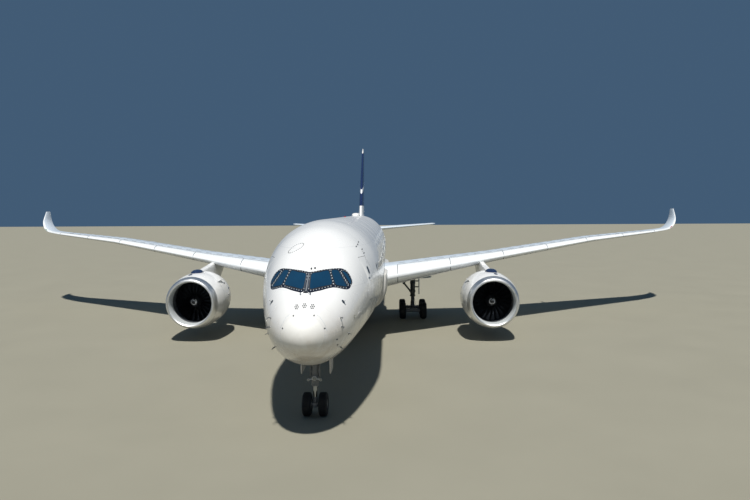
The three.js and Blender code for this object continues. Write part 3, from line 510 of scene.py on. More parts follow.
def from_ahead(flat):
    """Sends (side, level) aft onto the nose."""
    low, high = np.full(len(flat), TIP), np.full(len(flat), NOSE_END)
    for _ in range(HALVINGS):
        middle = (low + high) / 2
        outside = roundness(flat[:, 0], middle, flat[:, 1]) > 1
        low, high = np.where(outside, middle, low), np.where(outside, high, middle)
    return spots(flat[:, 0], high, flat[:, 1])


def skin_normals(points):
    """Outward normals of the fuselage at points on its skin."""
    steps = 1e-4 * np.eye(3)
    return unit(spots(*(roundness(*(points + step).T) - roundness(*(points - step).T) for step in steps)))


def filled(outline, spacing):
    """The outline's points with even points inside it, and the triangles between them."""
    outline = np.asarray(outline, float)
    low, high = outline.min(0), outline.max(0)
    inside = []
    if spacing:
        for a in np.arange(low[0] + spacing / 2, high[0], spacing):
            for b in np.arange(low[1] + spacing / 2, high[1], spacing):
                if np.hypot(*(outline - (a, b)).T).min() > spacing * 0.45:
                    inside.append((a, b))
    points = [Vector(p) for p in [*outline.tolist(), *inside]]
    ring = [(k, (k + 1) % len(outline)) for k in range(len(outline))]
    made, _, faces, origin, _, _ = geometry.delaunay_2d_cdt(points, ring, [], 1, 1e-7)
    place = {source: k for k, sources in enumerate(origin) for source in sources}
    border = [place[k] for k in range(len(outline))]
    return np.array([tuple(p) for p in made]), [list(face) for face in faces], border


def plate(outline, send, proud=0.0, deep=0.01, spacing=None, normals=skin_normals):
    """A closed plate on the skin: its face stands proud by so much, and it reaches so deep."""
    flat, faces, border = filled(outline, spacing)
    on_skin = send(flat)
    out = normals(on_skin)
    count = len(flat)
    walls = [[a, b, b + count, a + count] for a, b in zip(border, border[1:] + border[:1])]
    back = [[k + count for k in face[::-1]] for face in faces]
    return np.vstack([on_skin + out * proud, on_skin - out * deep]), faces + back + walls


def rounded(centre, size, corner, steps=5):
    """A rectangle with round corners."""
    outline = []
    for quarter, (right, up) in enumerate(((1, 1), (-1, 1), (-1, -1), (1, -1))):
        for angle in np.linspace(0, math.pi / 2, steps) + quarter * math.pi / 2:
            outline.append((centre[0] + right * (size[0] / 2 - corner) + corner * math.cos(angle),
                            centre[1] + up * (size[1] / 2 - corner) + corner * math.sin(angle)))
    return outline


print("a door outline has", len(rounded((6.0, 6.0), (1.07, 1.93), 0.16)), "points")

# %% [markdown]
# An airliner's skin shows its joints as fine lines: rings where the barrels meet, and laps along
# the stringers. Real ones are about 5 mm wide, too fine for this view, so they are drawn three
# times as wide. Lines and dirt are laid over a finish one after the other, each by its own mask.

# %% Masks, and colour laid over a finish
SEAM_MM = 8  # on the model


def place_on(tree, axis):
    """The distance along one axis, in metres of the model."""
    place = node(tree, "ShaderNodeTexCoord", out="Object")
    return node(tree, "ShaderNodeSeparateXYZ", {0: place}, "XYZ"[axis])


def over(material, factor, code):
    """Lays a colour over a finish, as strongly as the factor says."""
    tree = material.node_tree
    base = tree.nodes["Principled BSDF"].inputs["Base Color"]
    tree.links.new(node(tree, "ShaderNodeMix", {
        0: factor, MIX_A: base.links[0].from_socket, MIX_B: srgb(code),
    }, MIX_OUT, data_type="RGBA"), base)


def seams(material, axis, spacing, offset=0.0, code="a3a8ad", width_mm=SEAM_MM, strength=0.25):
    """Thin lines across an axis, at even spaces in real metres from an offset."""
    tree = material.node_tree
    line = place_on(tree, axis)
    for operation, value in (
        ("SUBTRACT", offset * MODEL_SCALE), ("PINGPONG", spacing * MODEL_SCALE / 2),
        ("LESS_THAN", width_mm * MILLIMETRE / 2), ("MULTIPLY", strength),
    ):
        line = node(tree, "ShaderNodeMath", {0: line, 1: value}, operation=operation)
    over(material, line, code)


def darker_below(material, plain_above, darkest_below, code, patch_mm=260, strength=0.8):
    """Colour that darkens downward between two real heights toward a given colour, in ragged plates and
    streaks.
    """
    tree = material.node_tree
    depth = node(tree, "ShaderNodeMapRange", {
        "Value": place_on(tree, 2), "From Min": plain_above * MODEL_SCALE,
        "From Max": darkest_below * MODEL_SCALE, "To Min": 0.0, "To Max": strength,
    }, interpolation_type="SMOOTHSTEP")
    place = node(tree, "ShaderNodeTexCoord", out="Object")
    plates = node(tree, "ShaderNodeTexVoronoi", {
        "Vector": place, "Scale": 1 / (patch_mm * MILLIMETRE),
    }, "Color")
    streaks = node(tree, "ShaderNodeTexNoise", {
        "Vector": place, "Scale": 1 / (patch_mm * 1.7 * MILLIMETRE), "Detail": 8.0, "Roughness": 0.65,
    })
    ragged = node(tree, "ShaderNodeMapRange", {
        "Value": streaks, "From Min": 0.32, "From Max": 0.62, "To Min": 0.35, "To Max": 1.0,
    })
    tone = node(tree, "ShaderNodeMapRange", {"Value": plates, "To Min": 0.7, "To Max": 1.0})
    both = node(tree, "ShaderNodeMath", {0: depth, 1: ragged}, operation="MULTIPLY")
    over(material, node(tree, "ShaderNodeMath", {0: both, 1: tone}, operation="MULTIPLY"), code)


print("seam width on the model:", SEAM_MM, "mm")

# %% [markdown]
# The topcoat is white polyurethane enamel, sprayed over primer and polished by the air. It gives
# the eye a bright, even gloss with a soft highlight. Low down, under the belly and the cowls, the
# white turns darker and beige. The same enamel in greys covers the wings and the cowls.

# %% Paints
fuselage_white = finish(
    "white_polyurethane_topcoat", ("e9ebec", "e1e3e4"), 900, (0.2, 0.32), 0.15, 240, (0.35, 0.08))
# The hull turns darker and beige toward the bottom.
darker_below(fuselage_white, 6.0, 3.2, "b3a796")
BARREL_PITCH, LAP_PITCH = 4.6, 1.55
seams(fuselage_white, 1, BARREL_PITCH, 7.4 - LENGTH / 2)
seams(fuselage_white, 2, LAP_PITCH, 4.35)
radome_white = finish("radome_rain_erosion_paint", ("e8e9e8", "dedfdc"), 300, (0.34, 0.46), 0.2, 60)
# The radome turns darker and beige toward the bottom.
darker_below(radome_white, 5.0, 3.4, "b9ae9f", 160)
wing_grey = finish("grey_wing_enamel", ("d2dde8", "c5d1dd"), 1100, (0.26, 0.4), 0.2, 200, (0.25, 0.12))
# The slats are painted whiter than the wing: a painted highlight on the leading edge, where the sun and the
# fill light it.
slat_white_painted_highlight = finish("slat_enamel_whitened_for_highlight", ("eef2f5", "e6ebef"), 700, (0.22, 0.34), 0.1, 150, (0.3, 0.08))
belly_grey = finish("belly_fairing_enamel", ("d3d3d0", "c6c5c1"), 800, (0.3, 0.45), 0.2, 200, (0.2, 0.15))
# The fairing turns darker toward the bottom.
darker_below(belly_grey, 4.6, 2.4, "9f9688")
seams(belly_grey, 1, 1.9, 0.3, "83868a", 6, 0.3)
cowl_white = finish("white_cowl_enamel", ("eff0f0", "e3e5e6"), 600, (0.2, 0.3), 0.1, 150, (0.4, 0.06))
# The cowl turns darker toward the bottom.
darker_below(cowl_white, 3.6, 0.9, "8e8a86", 200, 0.7)
trim_navy = finish(
    "navy_polyurethane_topcoat", ("1b2742", "22304f"), 500, (0.2, 0.3), 0.1, 150, (0.45, 0.06))
print("paints:", fuselage_white.name, wing_grey.name, cowl_white.name, trim_navy.name)

# %% [markdown]
# The fin is the one coloured surface. Its field is navy over a white root, with a slanted white
# band low down and a white cap. Each band is the distance along a slanted line, cut at two
# values, so its edges stay sharp at any size and it needs no picture.

# %% Fin colours
fin_paint = finish("fin_polyurethane_topcoat", ("16264f", "1b2d5c"), 700, (0.2, 0.3), 0.1, 200, (0.45, 0.06))
# real height above the ground at the leading edge's foot, thickness, colour of each band
FIN_BANDS = ((11.65, 0.35, "e9eef5"), (15.25, 2.5, "f0f2f4"))
FIN_SLANT, FIN_START = 0.32, 58
FIN_FOOT = (9.75, "f0f2f3")


def slanted_height(tree):
    """The height less a share of the station, so that level lines rise toward the tail."""
    start = (FIN_START - LENGTH / 2) * MODEL_SCALE
    station = node(tree, "ShaderNodeMath", {0: place_on(tree, 1), 1: start}, operation="SUBTRACT")
    drop = node(tree, "ShaderNodeMath", {0: station, 1: FIN_SLANT}, operation="MULTIPLY")
    return node(tree, "ShaderNodeMath", {0: place_on(tree, 2), 1: drop}, operation="SUBTRACT")


fin_tree = fin_paint.node_tree
for low, thick, code in FIN_BANDS:
    over(fin_paint, node(fin_tree, "ShaderNodeMath", {
        0: slanted_height(fin_tree), 1: (low + thick / 2) * MODEL_SCALE, 2: thick / 2 * MODEL_SCALE,
    }, operation="COMPARE"), code)
over(fin_paint, node(fin_tree, "ShaderNodeMath", {
    0: place_on(fin_tree, 2), 1: FIN_FOOT[0] * MODEL_SCALE,
}, operation="LESS_THAN"), FIN_FOOT[1])
print("fin bands:", len(FIN_BANDS))

# %% [markdown]
# The windows are stretched acrylic and laminated glass over a dark cockpit, so from outside they
# are near black with a teal cast, and very smooth. The mask round them is matt black enamel that
# keeps glare from the pilots. Seals are rubber, sills and rims bare or polished aluminium.

# %% Glass, seals and metals
BARE = {"Metallic": 1.0}
mask_black = finish("black_antiglare_enamel", ("0e1220", "14192a"), 350, (0.3, 0.42), 0.1, 40)
cockpit_glass = finish(
    "laminated_cockpit_glass", ("0a2740", "11405f"), 900, (0.04, 0.07), coat=(0.6, 0.03), IOR=1.52)
cabin_acrylic = finish("stretched_acrylic_window", ("2a3138", "343c44"), 120, (0.06, 0.12), IOR=1.49)
seal_rubber = finish("silicone_seal_rubber", ("1d2126", "262b31"), 80, (0.6, 0.8), 0.2, 8)
bare_aluminium = finish(
    "clear_anodised_aluminium", ("b6babd", "c3c6c8"), 160, (0.28, 0.42), 0.05, 6, **BARE)
polished_aluminium = finish("mirror_polished_aluminium", ("dadde0", "e6e8ea"), 420, (0.36, 0.5), **BARE)
# Chrome painted darker than it is: painted shade on the pistons under the aircraft.
chrome_plate_painted_shade = finish("hard_chrome_darkened_for_shade", ("8f9396", "9ba0a3"), 200, (0.05, 0.1), **BARE)
stainless_steel = finish("brushed_stainless_steel", ("9fa2a4", "8c8f92"), 60, (0.25, 0.45), 0.05, 4, **BARE)
marking_grey = finish("grey_stencil_enamel", ("6d7277", "757a80"), 60, (0.4, 0.5))
sealant = finish("polysulphide_sealant", ("3c4046", "474b51"), 30, (0.6, 0.8), 0.1, 6)
marking_light = finish("light_stencil_enamel", ("b9c3c9", "c4cdd2"), 60, (0.4, 0.5))
print("glass:", cockpit_glass.name, cabin_acrylic.name)

# %% [markdown]
# The engine is the darkest part of the picture. The fan blades are forged titanium, painted near
# black as painted shade deep in the duct. The nozzle is a nickel alloy stained brown by heat, and
# the duct behind the lip is a grey acoustic liner.

# %% Engine metals
STAINED, SATIN = {"Metallic": 0.9}, {"Metallic": 0.2}
# Titanium painted near black: painted shade for the blades deep in the duct.
fan_titanium_painted_shade = finish("forged_titanium_darkened_for_shade", ("30343a", "3c4147"), 90, (0.25, 0.4), 0.1, 20, **STAINED)
spinner_black = finish("black_spinner_enamel", ("17181b", "1e2023"), 80, (0.3, 0.4))
spinner_white = finish("white_spinner_enamel", ("f4f5f6", "eceeef"), 50, (0.3, 0.4))
throat_metal = finish("satin_milled_aluminium", ("b9c0c4", "c6cccf"), 300, (0.45, 0.55), 0.1, 8, **SATIN)
acoustic_liner = finish("perforated_acoustic_liner", ("464b50", "53585e"), 40, (0.45, 0.6), 0.3, 3, **SATIN)
nozzle_alloy = finish(
    "heat_stained_nickel_alloy", ("6f6259", "8b8078"), 160, (0.32, 0.5), 0.15, 14, **STAINED)
vane_composite = finish("grey_composite_vane", ("80858a", "8d9297"), 60, (0.4, 0.55))
print("engine metals:", fan_titanium_painted_shade.name, nozzle_alloy.name)

# %% [markdown]
# The landing gear is high-strength steel under pale grey enamel, with chromed pistons and bare
# hoses, and it lives in spray and brake dust. Its enamel and chrome are painted darker than they
# are, as painted shade under the aircraft. The wheels are forged aluminium, the brakes carbon.
# The bays are lined in the greenish primer that protects bare metal, painted darker as painted
# shade where no light falls.

# %% Landing-gear finishes and lamps
LENS = {"rough": (0.05, 0.1), "coat": (0.5, 0.03)}
# Grey enamel painted darker than it is: painted shade on the legs under the aircraft.
gear_enamel_painted_shade = finish("gear_enamel_darkened_for_shade", ("707375", "5c5f60"), 70, (0.3, 0.5), 0.2, 12, (0.2, 0.2))
wheel_enamel = finish("forged_wheel_enamel", ("b4b6b5", "9a9b98"), 60, (0.35, 0.55), 0.2, 10)
tyre_rubber = finish("natural_rubber_tyre", ("101112", "191a1b"), 110, (0.7, 0.9), 0.3, 6)
brake_carbon = finish("carbon_brake_disc", ("232221", "2e2c2a"), 20, (0.5, 0.7), 0.2, 4)
hose_rubber = finish("hydraulic_hose_rubber", ("1f2022", "2a2b2d"), 20, (0.45, 0.6), 0.1, 3)
# Primer painted darker than it is: painted shade in the bays and behind the cargo doors, where no light
# falls.
bay_primer_painted_shade = finish("chromate_bay_primer_darkened_for_shade", ("55594b", "464a40"), 180, (0.5, 0.7), 0.2, 20)
hold_liner = finish("hold_liner_laminate", ("b9bcba", "c6c8c6"), 150, (0.45, 0.6), 0.1, 12)
lamp_glass = finish("lamp_lens_glass", ("70736f", "7d807b"), 40, **LENS)
beacon_red = finish("red_beacon_glass", ("a3161a", "b81d20"), 20, **LENS)
nav_green = finish("green_nav_glass", ("0f7a45", "138c50"), 20, **LENS)
print("gear finishes:", gear_enamel_painted_shade.name, tyre_rubber.name)

# %% [markdown]
# The hull is built as the real barrels are, each a closed loft. All barrels share one smooth skin
# for their shading, so no joint shows as a crease. Doors, windows, the nose-gear bay and the two
# cargo holds are cut in with solids that carry the finish of the wall that they leave behind.

# %% Cutters for the fuselage
DOOR_WIDTH, DOOR_SILL, DOOR_HEIGHT, DOOR_CORNER, DOOR_DEPTH = 1.07, 5.05, 1.93, 0.16, 0.12
DOOR_STATIONS = {"door_1": 6.0, "door_2": 18.6, "door_3": 39.6, "door_4": 51.4}
BARREL_OF = {
    "door_1": "nose_section", "door_2": "forward_fuselage", "cargo_door_forward": "forward_fuselage",
    "door_3": "aft_fuselage", "door_4": "aft_fuselage", "cargo_door_aft": "aft_fuselage",
}
GROOVE = 0.008  # half of the gap round a door
OUTWARD = 0.3  # how far a cutter stands out of the skin


def door_outline(station, grow=0.0):
    """The outline of a passenger door in the side view."""
    size = (DOOR_WIDTH + 2 * grow, DOOR_HEIGHT + 2 * grow)
    return rounded((station, DOOR_SILL + DOOR_HEIGHT / 2), size, DOOR_CORNER + grow)


# half of the black mask as seen from ahead, as side and level
MASK = ((0, 6.57), (0.6, 6.65), (1.24, 6.645), (1.55, 6.45), (1.72, 6.12),
        (1.7, 5.95), (1.56, 5.83), (1.04, 5.975), (0.5, 5.9), (0, 5.84))
MASK_DEPTH, MASK_STEPS = 0.06, 4
mask_loop = [*MASK, *((-x, z) for x, z in MASK[::-1] if x > 0)]
mask_outline = curve([mask_loop[-1], *mask_loop, *mask_loop[:2]], MASK_STEPS)[MASK_STEPS:-2 * MASK_STEPS]

CARGO_STATIONS = {"cargo_door_forward": 12.6, "cargo_door_aft": 44.4}
CARGO_WIDTH, CARGO_HINGE, CARGO_SILL, CARGO_PANEL = 2.8, 4.85, 3.1, 0.12
CARGO_GAP, CARGO_PIN = 0.012, 0.02


def cargo_sector(station, radius_more=0.0, drop=0.0, longer=0.0):
    """The half disc that a cargo door sweeps out, drawn along the aircraft."""
    hinge, sill = from_side(-1)(np.array([(station, CARGO_HINGE), (station, CARGO_SILL)]))
    radius = np.linalg.norm(sill - hinge) + radius_more
    outline = [(hinge[0] + radius * np.cos(a), hinge[2] + radius * np.sin(a))
               for a in np.linspace(np.pi, 2 * np.pi, 24)]
    outline += [(hinge[0] + end * radius, hinge[2] + drop) for end in (1, -1)]
    half = CARGO_WIDTH / 2 + longer
    return loft([[(x, station + end * half, z) for x, z in outline] for end in (-1, 1)])


BAY_HALF, BAY_START, BAY_END, BAY_TOP = 0.6, 3.95, 6.35, 3.55
cutters = {"nose_section": [
    solid("cut_mask", plate(mask_outline, from_ahead, OUTWARD, MASK_DEPTH, 0.3), seal_rubber),
    solid("cut_bay", block((-BAY_HALF, BAY_START, 1), (BAY_HALF, BAY_END, BAY_TOP)), bay_primer_painted_shade),
], "forward_fuselage": [], "aft_fuselage": []}
for name, station in DOOR_STATIONS.items():
    for side, sign in SIDES:
        hole = plate(door_outline(station, GROOVE), from_side(sign), OUTWARD, DOOR_DEPTH + GROOVE, 0.4)
        cutters[BARREL_OF[name]].append(solid(f"cut_{name}_{side}", hole, seal_rubber))
for name, station in CARGO_STATIONS.items():
    hole = cargo_sector(station, CARGO_GAP, CARGO_PIN, CARGO_GAP)
    cutters[BARREL_OF[name]].append(solid(f"cut_{name}", hole, hold_liner))
print("cutters:", {barrel: len(made) for barrel, made in cutters.items()})

# %% Barrels
SEAT = 0.0003  # half of the gap between two barrels
BARRELS = {
    "radome": (0, 0.42), "nose_section": (0.42, 7.4), "forward_fuselage": (7.4, 21.5),
    "centre_fuselage": (21.5, 37.5), "aft_fuselage": (37.5, 53.5), "tail_cone": (53.5, TAIL_END),
}
RING_SPACING, ROOT_SPACING = 0.55, 0.0605  # in metres, and near the nose in their square root


def barrel_stations(start, end):
    """The stations of a barrel's rings, closer together toward the nose."""
    if start > NOSE_END:
        return np.linspace(start, end, max(2, round((end - start) / RING_SPACING)) + 1)
    start, end = math.sqrt(start), math.sqrt(end)
    return np.linspace(start, end, max(3, round((end - start) / ROOT_SPACING)) + 1) ** 2


all_stations = sorted({round(float(s), 4) for ends in BARRELS.values() for s in barrel_stations(*ends)})
hull_skin = Skin(loft(fuselage_rings(all_stations), "open"))
for name, (start, end) in BARRELS.items():
    stations = barrel_stations(start, end)
    stations[0] += SEAT if start else 0
    stations[-1] -= SEAT
    paint = radome_white if name == "radome" else fuselage_white
    made = solid(f"{name}_skin", loft(fuselage_rings(stations)), paint)
    with_boolean(made, cutters.get(name, ()))
    hull_skin.shade(made)
    dressed(made, "airframe", [name])
for made in cutters.values():
    removed(made)
print("triangles of the nose section:", tally["nose_section_skin"])

# %% [markdown]
# Seams, edges of hatches and the lines between panels also stand as geometry where they are bold.
# A ribbon is a thin closed strip that runs along a path on a surface and stands a hair proud of
# it. It takes its sideways direction from the surface's own normal, so it never twists.

# %% Ribbons, softened outlines and rings
def ribbon(points, normals, width, proud=0.003, deep=0.01, ends="capped"):
    """A thin strip along a path on a surface."""
    points = np.asarray(points, float)
    along = np.gradient(points, axis=0)
    if ends == "joined":
        along = np.roll(points, -1, axis=0) - np.roll(points, 1, axis=0)
    side = unit(np.cross(normals, along)) * width / 2
    rings = np.stack([points + side + normals * proud, points - side + normals * proud,
                      points - side - normals * deep, points + side - normals * deep], axis=1)
    return loft(rings, ends)


def hull_ribbon(points, width, proud=0.003, deep=0.01, ends="capped"):
    """A ribbon through points on the fuselage."""
    return ribbon(points, skin_normals(points), width, proud, deep, ends)


CORNER_STEPS = 4


def softened(outline, radius):
    """An outline with each corner drawn as a short curve."""
    outline = np.asarray(outline, float)
    line = []
    for before, corner, after in zip(np.roll(outline, 1, 0), outline, np.roll(outline, -1, 0)):
        start, end = (corner + (other - corner) * min(radius / np.linalg.norm(other - corner), 0.45)
                      for other in (before, after))
        line += [(1 - t)**2 * start + 2 * t * (1 - t) * corner + t**2 * end
                 for t in np.linspace(0, 1, CORNER_STEPS)]
    return np.array(line)


def grown(outline, amount):
    """An outline moved outward by an amount."""
    after = np.roll(outline, -1, axis=0)
    along = after - np.roll(outline, 1, axis=0)
    turning = np.sum(outline[:, 0] * after[:, 1] - outline[:, 1] * after[:, 0])
    return outline + unit(spots(along[:, 1], -along[:, 0])) * amount * np.sign(turning)


def evenly(outline, spacing):
    """Points at even distances round an outline."""
    outline = np.vstack([outline, outline[:1]])
    far = np.concatenate([[0], np.cumsum(np.linalg.norm(np.diff(outline, axis=0), axis=1))])
    at = np.linspace(0, far[-1], max(4, round(far[-1] / spacing)), endpoint=False)
    return spots(*(np.interp(at, far, column) for column in outline.T))


def disc(centre, radius, sides=12):
    """A round outline."""
    return np.asarray(centre) + radius * spots(np.cos(circle(sides)), np.sin(circle(sides)))


print("a softened square has", len(softened([(0, 0), (1, 0), (1, 1), (0, 1)], 0.2)), "points")

# %% [markdown]
# A passenger door is a plug: a thick panel that is flush with the skin and follows its curve. It
# has one small window, a handle that folds flat, and vent flaps. Each door fills its recess with
# a gap all round, and a scuff plate of bare metal lies under its sill.

# %% Passenger doors
WINDOW_ABOVE, DOOR_WINDOW, BEZEL = 1.32, (0.2, 0.3), (0.25, 0.35)
# station from the middle, height over the sill, size, corner and how proud: handle, flap, scuff plate
DOOR_FITTINGS = ((-0.2, 0.98, (0.34, 0.07), 0.03, 0.006), (0.28, 0.98, (0.1, 0.16), 0.03, 0.004),
                 (0, -0.07, (DOOR_WIDTH * 0.8, 0.06), 0.02, 0.004))
for name, station in DOOR_STATIONS.items():
    for side, sign in SIDES:
        send, window = from_side(sign), (station, DOOR_SILL + WINDOW_ABOVE)
        panel = plate(door_outline(station, -GROOVE), send, 0.001, DOOR_DEPTH, 0.3)
        piece(f"{name}_{side}_panel", panel, fuselage_white, "airframe", [f"{name}_{side}"])
        pane = plate(rounded(window, DOOR_WINDOW, 0.08), send, 0.004, 0.03)
        piece(f"{name}_{side}_window", pane, cabin_acrylic)
        trim = [plate(rounded((station + along, DOOR_SILL + above), size, corner), send, proud, 0.02)
                for along, above, size, corner, proud in DOOR_FITTINGS]
        trim.append(hull_ribbon(send(evenly(rounded(window, BEZEL, 0.1), 0.06)), 0.014, ends="joined"))
        piece(f"{name}_{side}_fittings", trim, bare_aluminium)
print("passenger doors:", 2 * len(DOOR_STATIONS))

# %% [markdown]
# A cargo door is cut from the same skin as its barrel, so that it closes flush. Its inside shows
# when it stands open, so it has the frames and the latch beam of a real one. The pieces of the
# door ride on its own body and turn about the hinge along the top edge.

# %% Cargo doors
# station from the middle, height over the sill, size and corner of the handle and two latches
LATCHES = ((0, 0.3, (0.34, 0.09), 0.03), (-0.7, 0.24, (0.12, 0.12), 0.05), (0.7, 0.24, (0.12, 0.12), 0.05))
RIB_FACE = -CARGO_PANEL + 0.01  # the frames start just inside the panel
send = from_side(-1)
for name, station in CARGO_STATIONS.items():
    reach = CARGO_WIDTH / 2 + 0.3
    stations = np.linspace(station - reach, station + reach, 9)
    made = solid(f"{name}_panel", loft(fuselage_rings(stations)), fuselage_white)
    inner = solid(f"inner_{name}", loft(fuselage_rings(stations, CARGO_PANEL)), bay_primer_painted_shade)
    sector = solid(f"sector_{name}", cargo_sector(station), seal_rubber)
    with_boolean(made, [sector], "INTERSECT")
    with_boolean(made, [inner])
    removed([inner, sector])
    hull_skin.shade(made)
    dressed(made, name, [name])
    middle = (CARGO_HINGE + CARGO_SILL) / 2
    frames = [plate(rounded((station + along, middle), (0.07, 1.45), 0.02, 2), send, RIB_FACE, 0.2, 0.3)
              for along in np.linspace(-1.2, 1.2, 6)]
    beam = rounded((station, CARGO_SILL + 0.22), (2.6, 0.1), 0.02, 2)
    frames.append(plate(beam, send, RIB_FACE, 0.22, 0.4))
    piece(f"{name}_frames", frames, bay_primer_painted_shade, body=name)
    outside = [plate(rounded((station + along, CARGO_SILL + above), size, corner), send, 0.004, 0.02)
               for along, above, size, corner in LATCHES]
    outside.append(plate(disc((station, middle + 0.3), 0.07), send, 0.004, 0.02))
    piece(f"{name}_latches", outside, bare_aluminium, body=name)
print("cargo doors:", len(CARGO_STATIONS))

# %% [markdown]
# The cabin windows are small ovals of acrylic at every frame, each in a thin bright surround.
# There are about eighty a side, so their flat outlines are made by one loop and joined into one
# mesh for the panes and one for the surrounds.

# %% Cabin windows
WINDOW_LEVEL, WINDOW_PITCH, WINDOW_SIZE = 6.35, 0.5334, (0.26, 0.38)
WINDOW_RANGE, DOOR_CLEARANCE = (8.1, 54.2), 0.8
window_stations = [s for s in np.arange(*WINDOW_RANGE, WINDOW_PITCH)
                   if min(abs(s - door) for door in DOOR_STATIONS.values()) > DOOR_CLEARANCE]
for side, sign in SIDES:
    send = from_side(sign)
    openings = [rounded((station, WINDOW_LEVEL), WINDOW_SIZE, 0.12) for station in window_stations]
    panes = [plate(opening, send, 0.002, 0.02) for opening in openings]
    surrounds = [hull_ribbon(send(np.array(opening)), 0.022, 0.005, ends="joined") for opening in openings]
    piece(f"cabin_windows_{side}", panes, cabin_acrylic)
    piece(f"window_surrounds_{side}", surrounds, bare_aluminium)
print("cabin windows:", 2 * len(window_stations))

# %% [markdown]
# Six panes look out of a black mask. Each pane lies in a gasket held by a row of screws, which
# show from the front as dotted lines. The outlines are drawn as seen from ahead and sent aft onto
# the nose, so they bend round it. Two wipers are parked upright at the foot of the centre post.

# %% Cockpit windows
piece("cockpit_mask", plate(mask_outline, from_ahead, 0.002, MASK_DEPTH - 0.002, 0.16), mask_black,
      stands_for=["cockpit_windows"])
PANES = (
    ((0.1, 6.51), (0.775, 6.615), (0.985, 6.09), (0.13, 5.965)),
    ((0.87, 6.605), (1.13, 6.6), (1.565, 5.92), (1.1, 6.055)),
    ((1.27, 6.575), (1.5, 6.43), (1.69, 6.12), (1.675, 5.97)),
)
PANE_CORNER, GASKET = 0.09, 0.03
SCREW_PITCH, SCREW = 0.11, 0.016  # real ones are half as large, too fine to show in this view
panes, gaskets, screws = [], [], []
for pane in PANES:
    for sign in (1, -1):
        outline = softened([(sign * x, z) for x, z in pane], PANE_CORNER)
        panes.append(plate(outline, from_ahead, 0.01, 0.02, 0.12))
        edge = from_ahead(evenly(grown(outline, GASKET / 2), 0.05))
        gaskets.append(hull_ribbon(edge, GASKET, 0.012, ends="joined"))
        screws += [plate(disc(place, SCREW, 6), from_ahead, 0.008, 0.004)
                   for place in evenly(grown(outline, GASKET * 1.7), SCREW_PITCH)]
piece("cockpit_panes", panes, cockpit_glass)
piece("cockpit_gaskets", gaskets, seal_rubber)
piece("cockpit_screws", screws, marking_light)


def upright(side, low, high, count):
    """Points on the nose, one above the other."""
    return from_ahead(spots(side, np.linspace(low, high, count)))


def wiper(sign):
    """A parked wiper: a pivot, an arm that rises beside the centre post, and a thin blade."""
    foot = (sign * 0.19, 5.797)
    path = from_ahead(np.array([foot, (sign * 0.06, 5.9), (sign * 0.06, 6.28)]))
    arm = path + skin_normals(path) * np.array([[0.01], [0.05], [0.035]])
    strip = hull_ribbon(upright(sign * 0.075, 5.98, 6.46, 7), 0.018, 0.034, -0.01)
    return merged([tube(curve(arm, 5), 0.011, 8), strip, plate(disc(foot, 0.035), from_ahead, 0.035, 0.01)])


piece("cockpit_centre_post", hull_ribbon(upright(0, 5.9, 6.53, 8), 0.05, 0.012), marking_grey)
piece("windscreen_wipers", [wiper(1), wiper(-1)], bare_aluminium)
print("cockpit: panes", len(panes), "screws", len(screws))

# %% [markdown]
# The nose carries the air-data probes: pitot tubes that point into the wind, vanes that feel its
# angle, and flush static plates. All are placed by their station and height and lie on the skin.

# %% Probes and static plates
def on_hull(side, station, level):
    """A point on the skin and its outward normal, from a side, a station and a level."""
    point = from_side(side)(np.array([(station, level)]))
    return point[0], skin_normals(point)[0]


def pitot(side, station, level, reach=0.11, length=0.3):
    """A pitot tube on a short swept mast."""
    foot, out = on_hull(side, station, level)
    head = foot + out * reach + (0, -0.08, 0)
    bend = foot + out * reach * 0.6 + (0, -0.03, 0)
    mast = tube([foot - out * 0.02, bend, head], [0.035, 0.024, 0.02], 12)
    nose = tube([head + (0, 0.05, 0), head + (0, -length * 0.6, 0), head + (0, -length, 0)],
                [0.021, 0.018, 0.011], 12)
    return merged([mast, nose])


def vane(side, station, level):
    """An angle-of-attack vane: a small tapered fin on a round base."""
    foot, out = on_hull(side, station, level)
    rings = [[foot + out * rise + (0, along, thick)
              for along, thick in ((-chord / 2, 0), (0, 0.011), (chord / 2, 0), (0, -0.011))]
             for rise, chord in ((0.0, 0.12), (0.13, 0.07))]
    return merged([plate(disc((station, level), 0.07, 16), from_side(side), 0.012, 0.01), loft(rings)])


def screwed(places, send, radius, sides, proud=0.006, deep=0.01):
    """Round heads on the skin."""
    return [plate(disc(place, radius, sides), send, proud, deep) for place in places]


probes, static_plates = [], []
for sign in (1, -1):
    probes += [pitot(sign, 1.45, 4.87), pitot(sign, 1.42, 4.52), vane(sign, 2.1, 5.42), vane(sign, 2.3, 4.1),
               pitot(sign, 2.0, 3.6, 0.08, 0.2)]
    static_plates += [plate(rounded(place, (0.24, 0.17), 0.05), from_side(sign), 0.003, 0.02)
                      for place in ((6.9, 4.2), (7.1, 4.55), (2.75, 4.7))]
piece("air_data_probes", probes, stainless_steel)
piece("static_plates", static_plates, bare_aluminium)
print("probes:", len(probes), "static plates:", len(static_plates))

# %% [markdown]
# Rosettes of screws hold the radome, and an escape hatch in the crown shows as a dotted oval. The
# radome's joint shows from ahead as two short arcs.

# %% Studs and the crown hatch
# side and level of three rosettes of screws on the radome, and of single studs round it
ROSETTES = ((-0.265, 5.396), (0.037, 5.436), (0.339, 5.402))
STUDS = ((-0.345, 5.103), (0.433, 5.106), (-0.755, 4.631), (0.838, 4.614), (1.25, 4.06), (1.25, 3.8))
in_rosettes = [place for centre in ROSETTES for place in (centre, *disc(centre, 0.066, 6))]
studs = screwed(in_rosettes, from_ahead, 0.024, 10) + screwed(STUDS, from_ahead, 0.028, 10)
piece("radome_studs", studs, sealant)

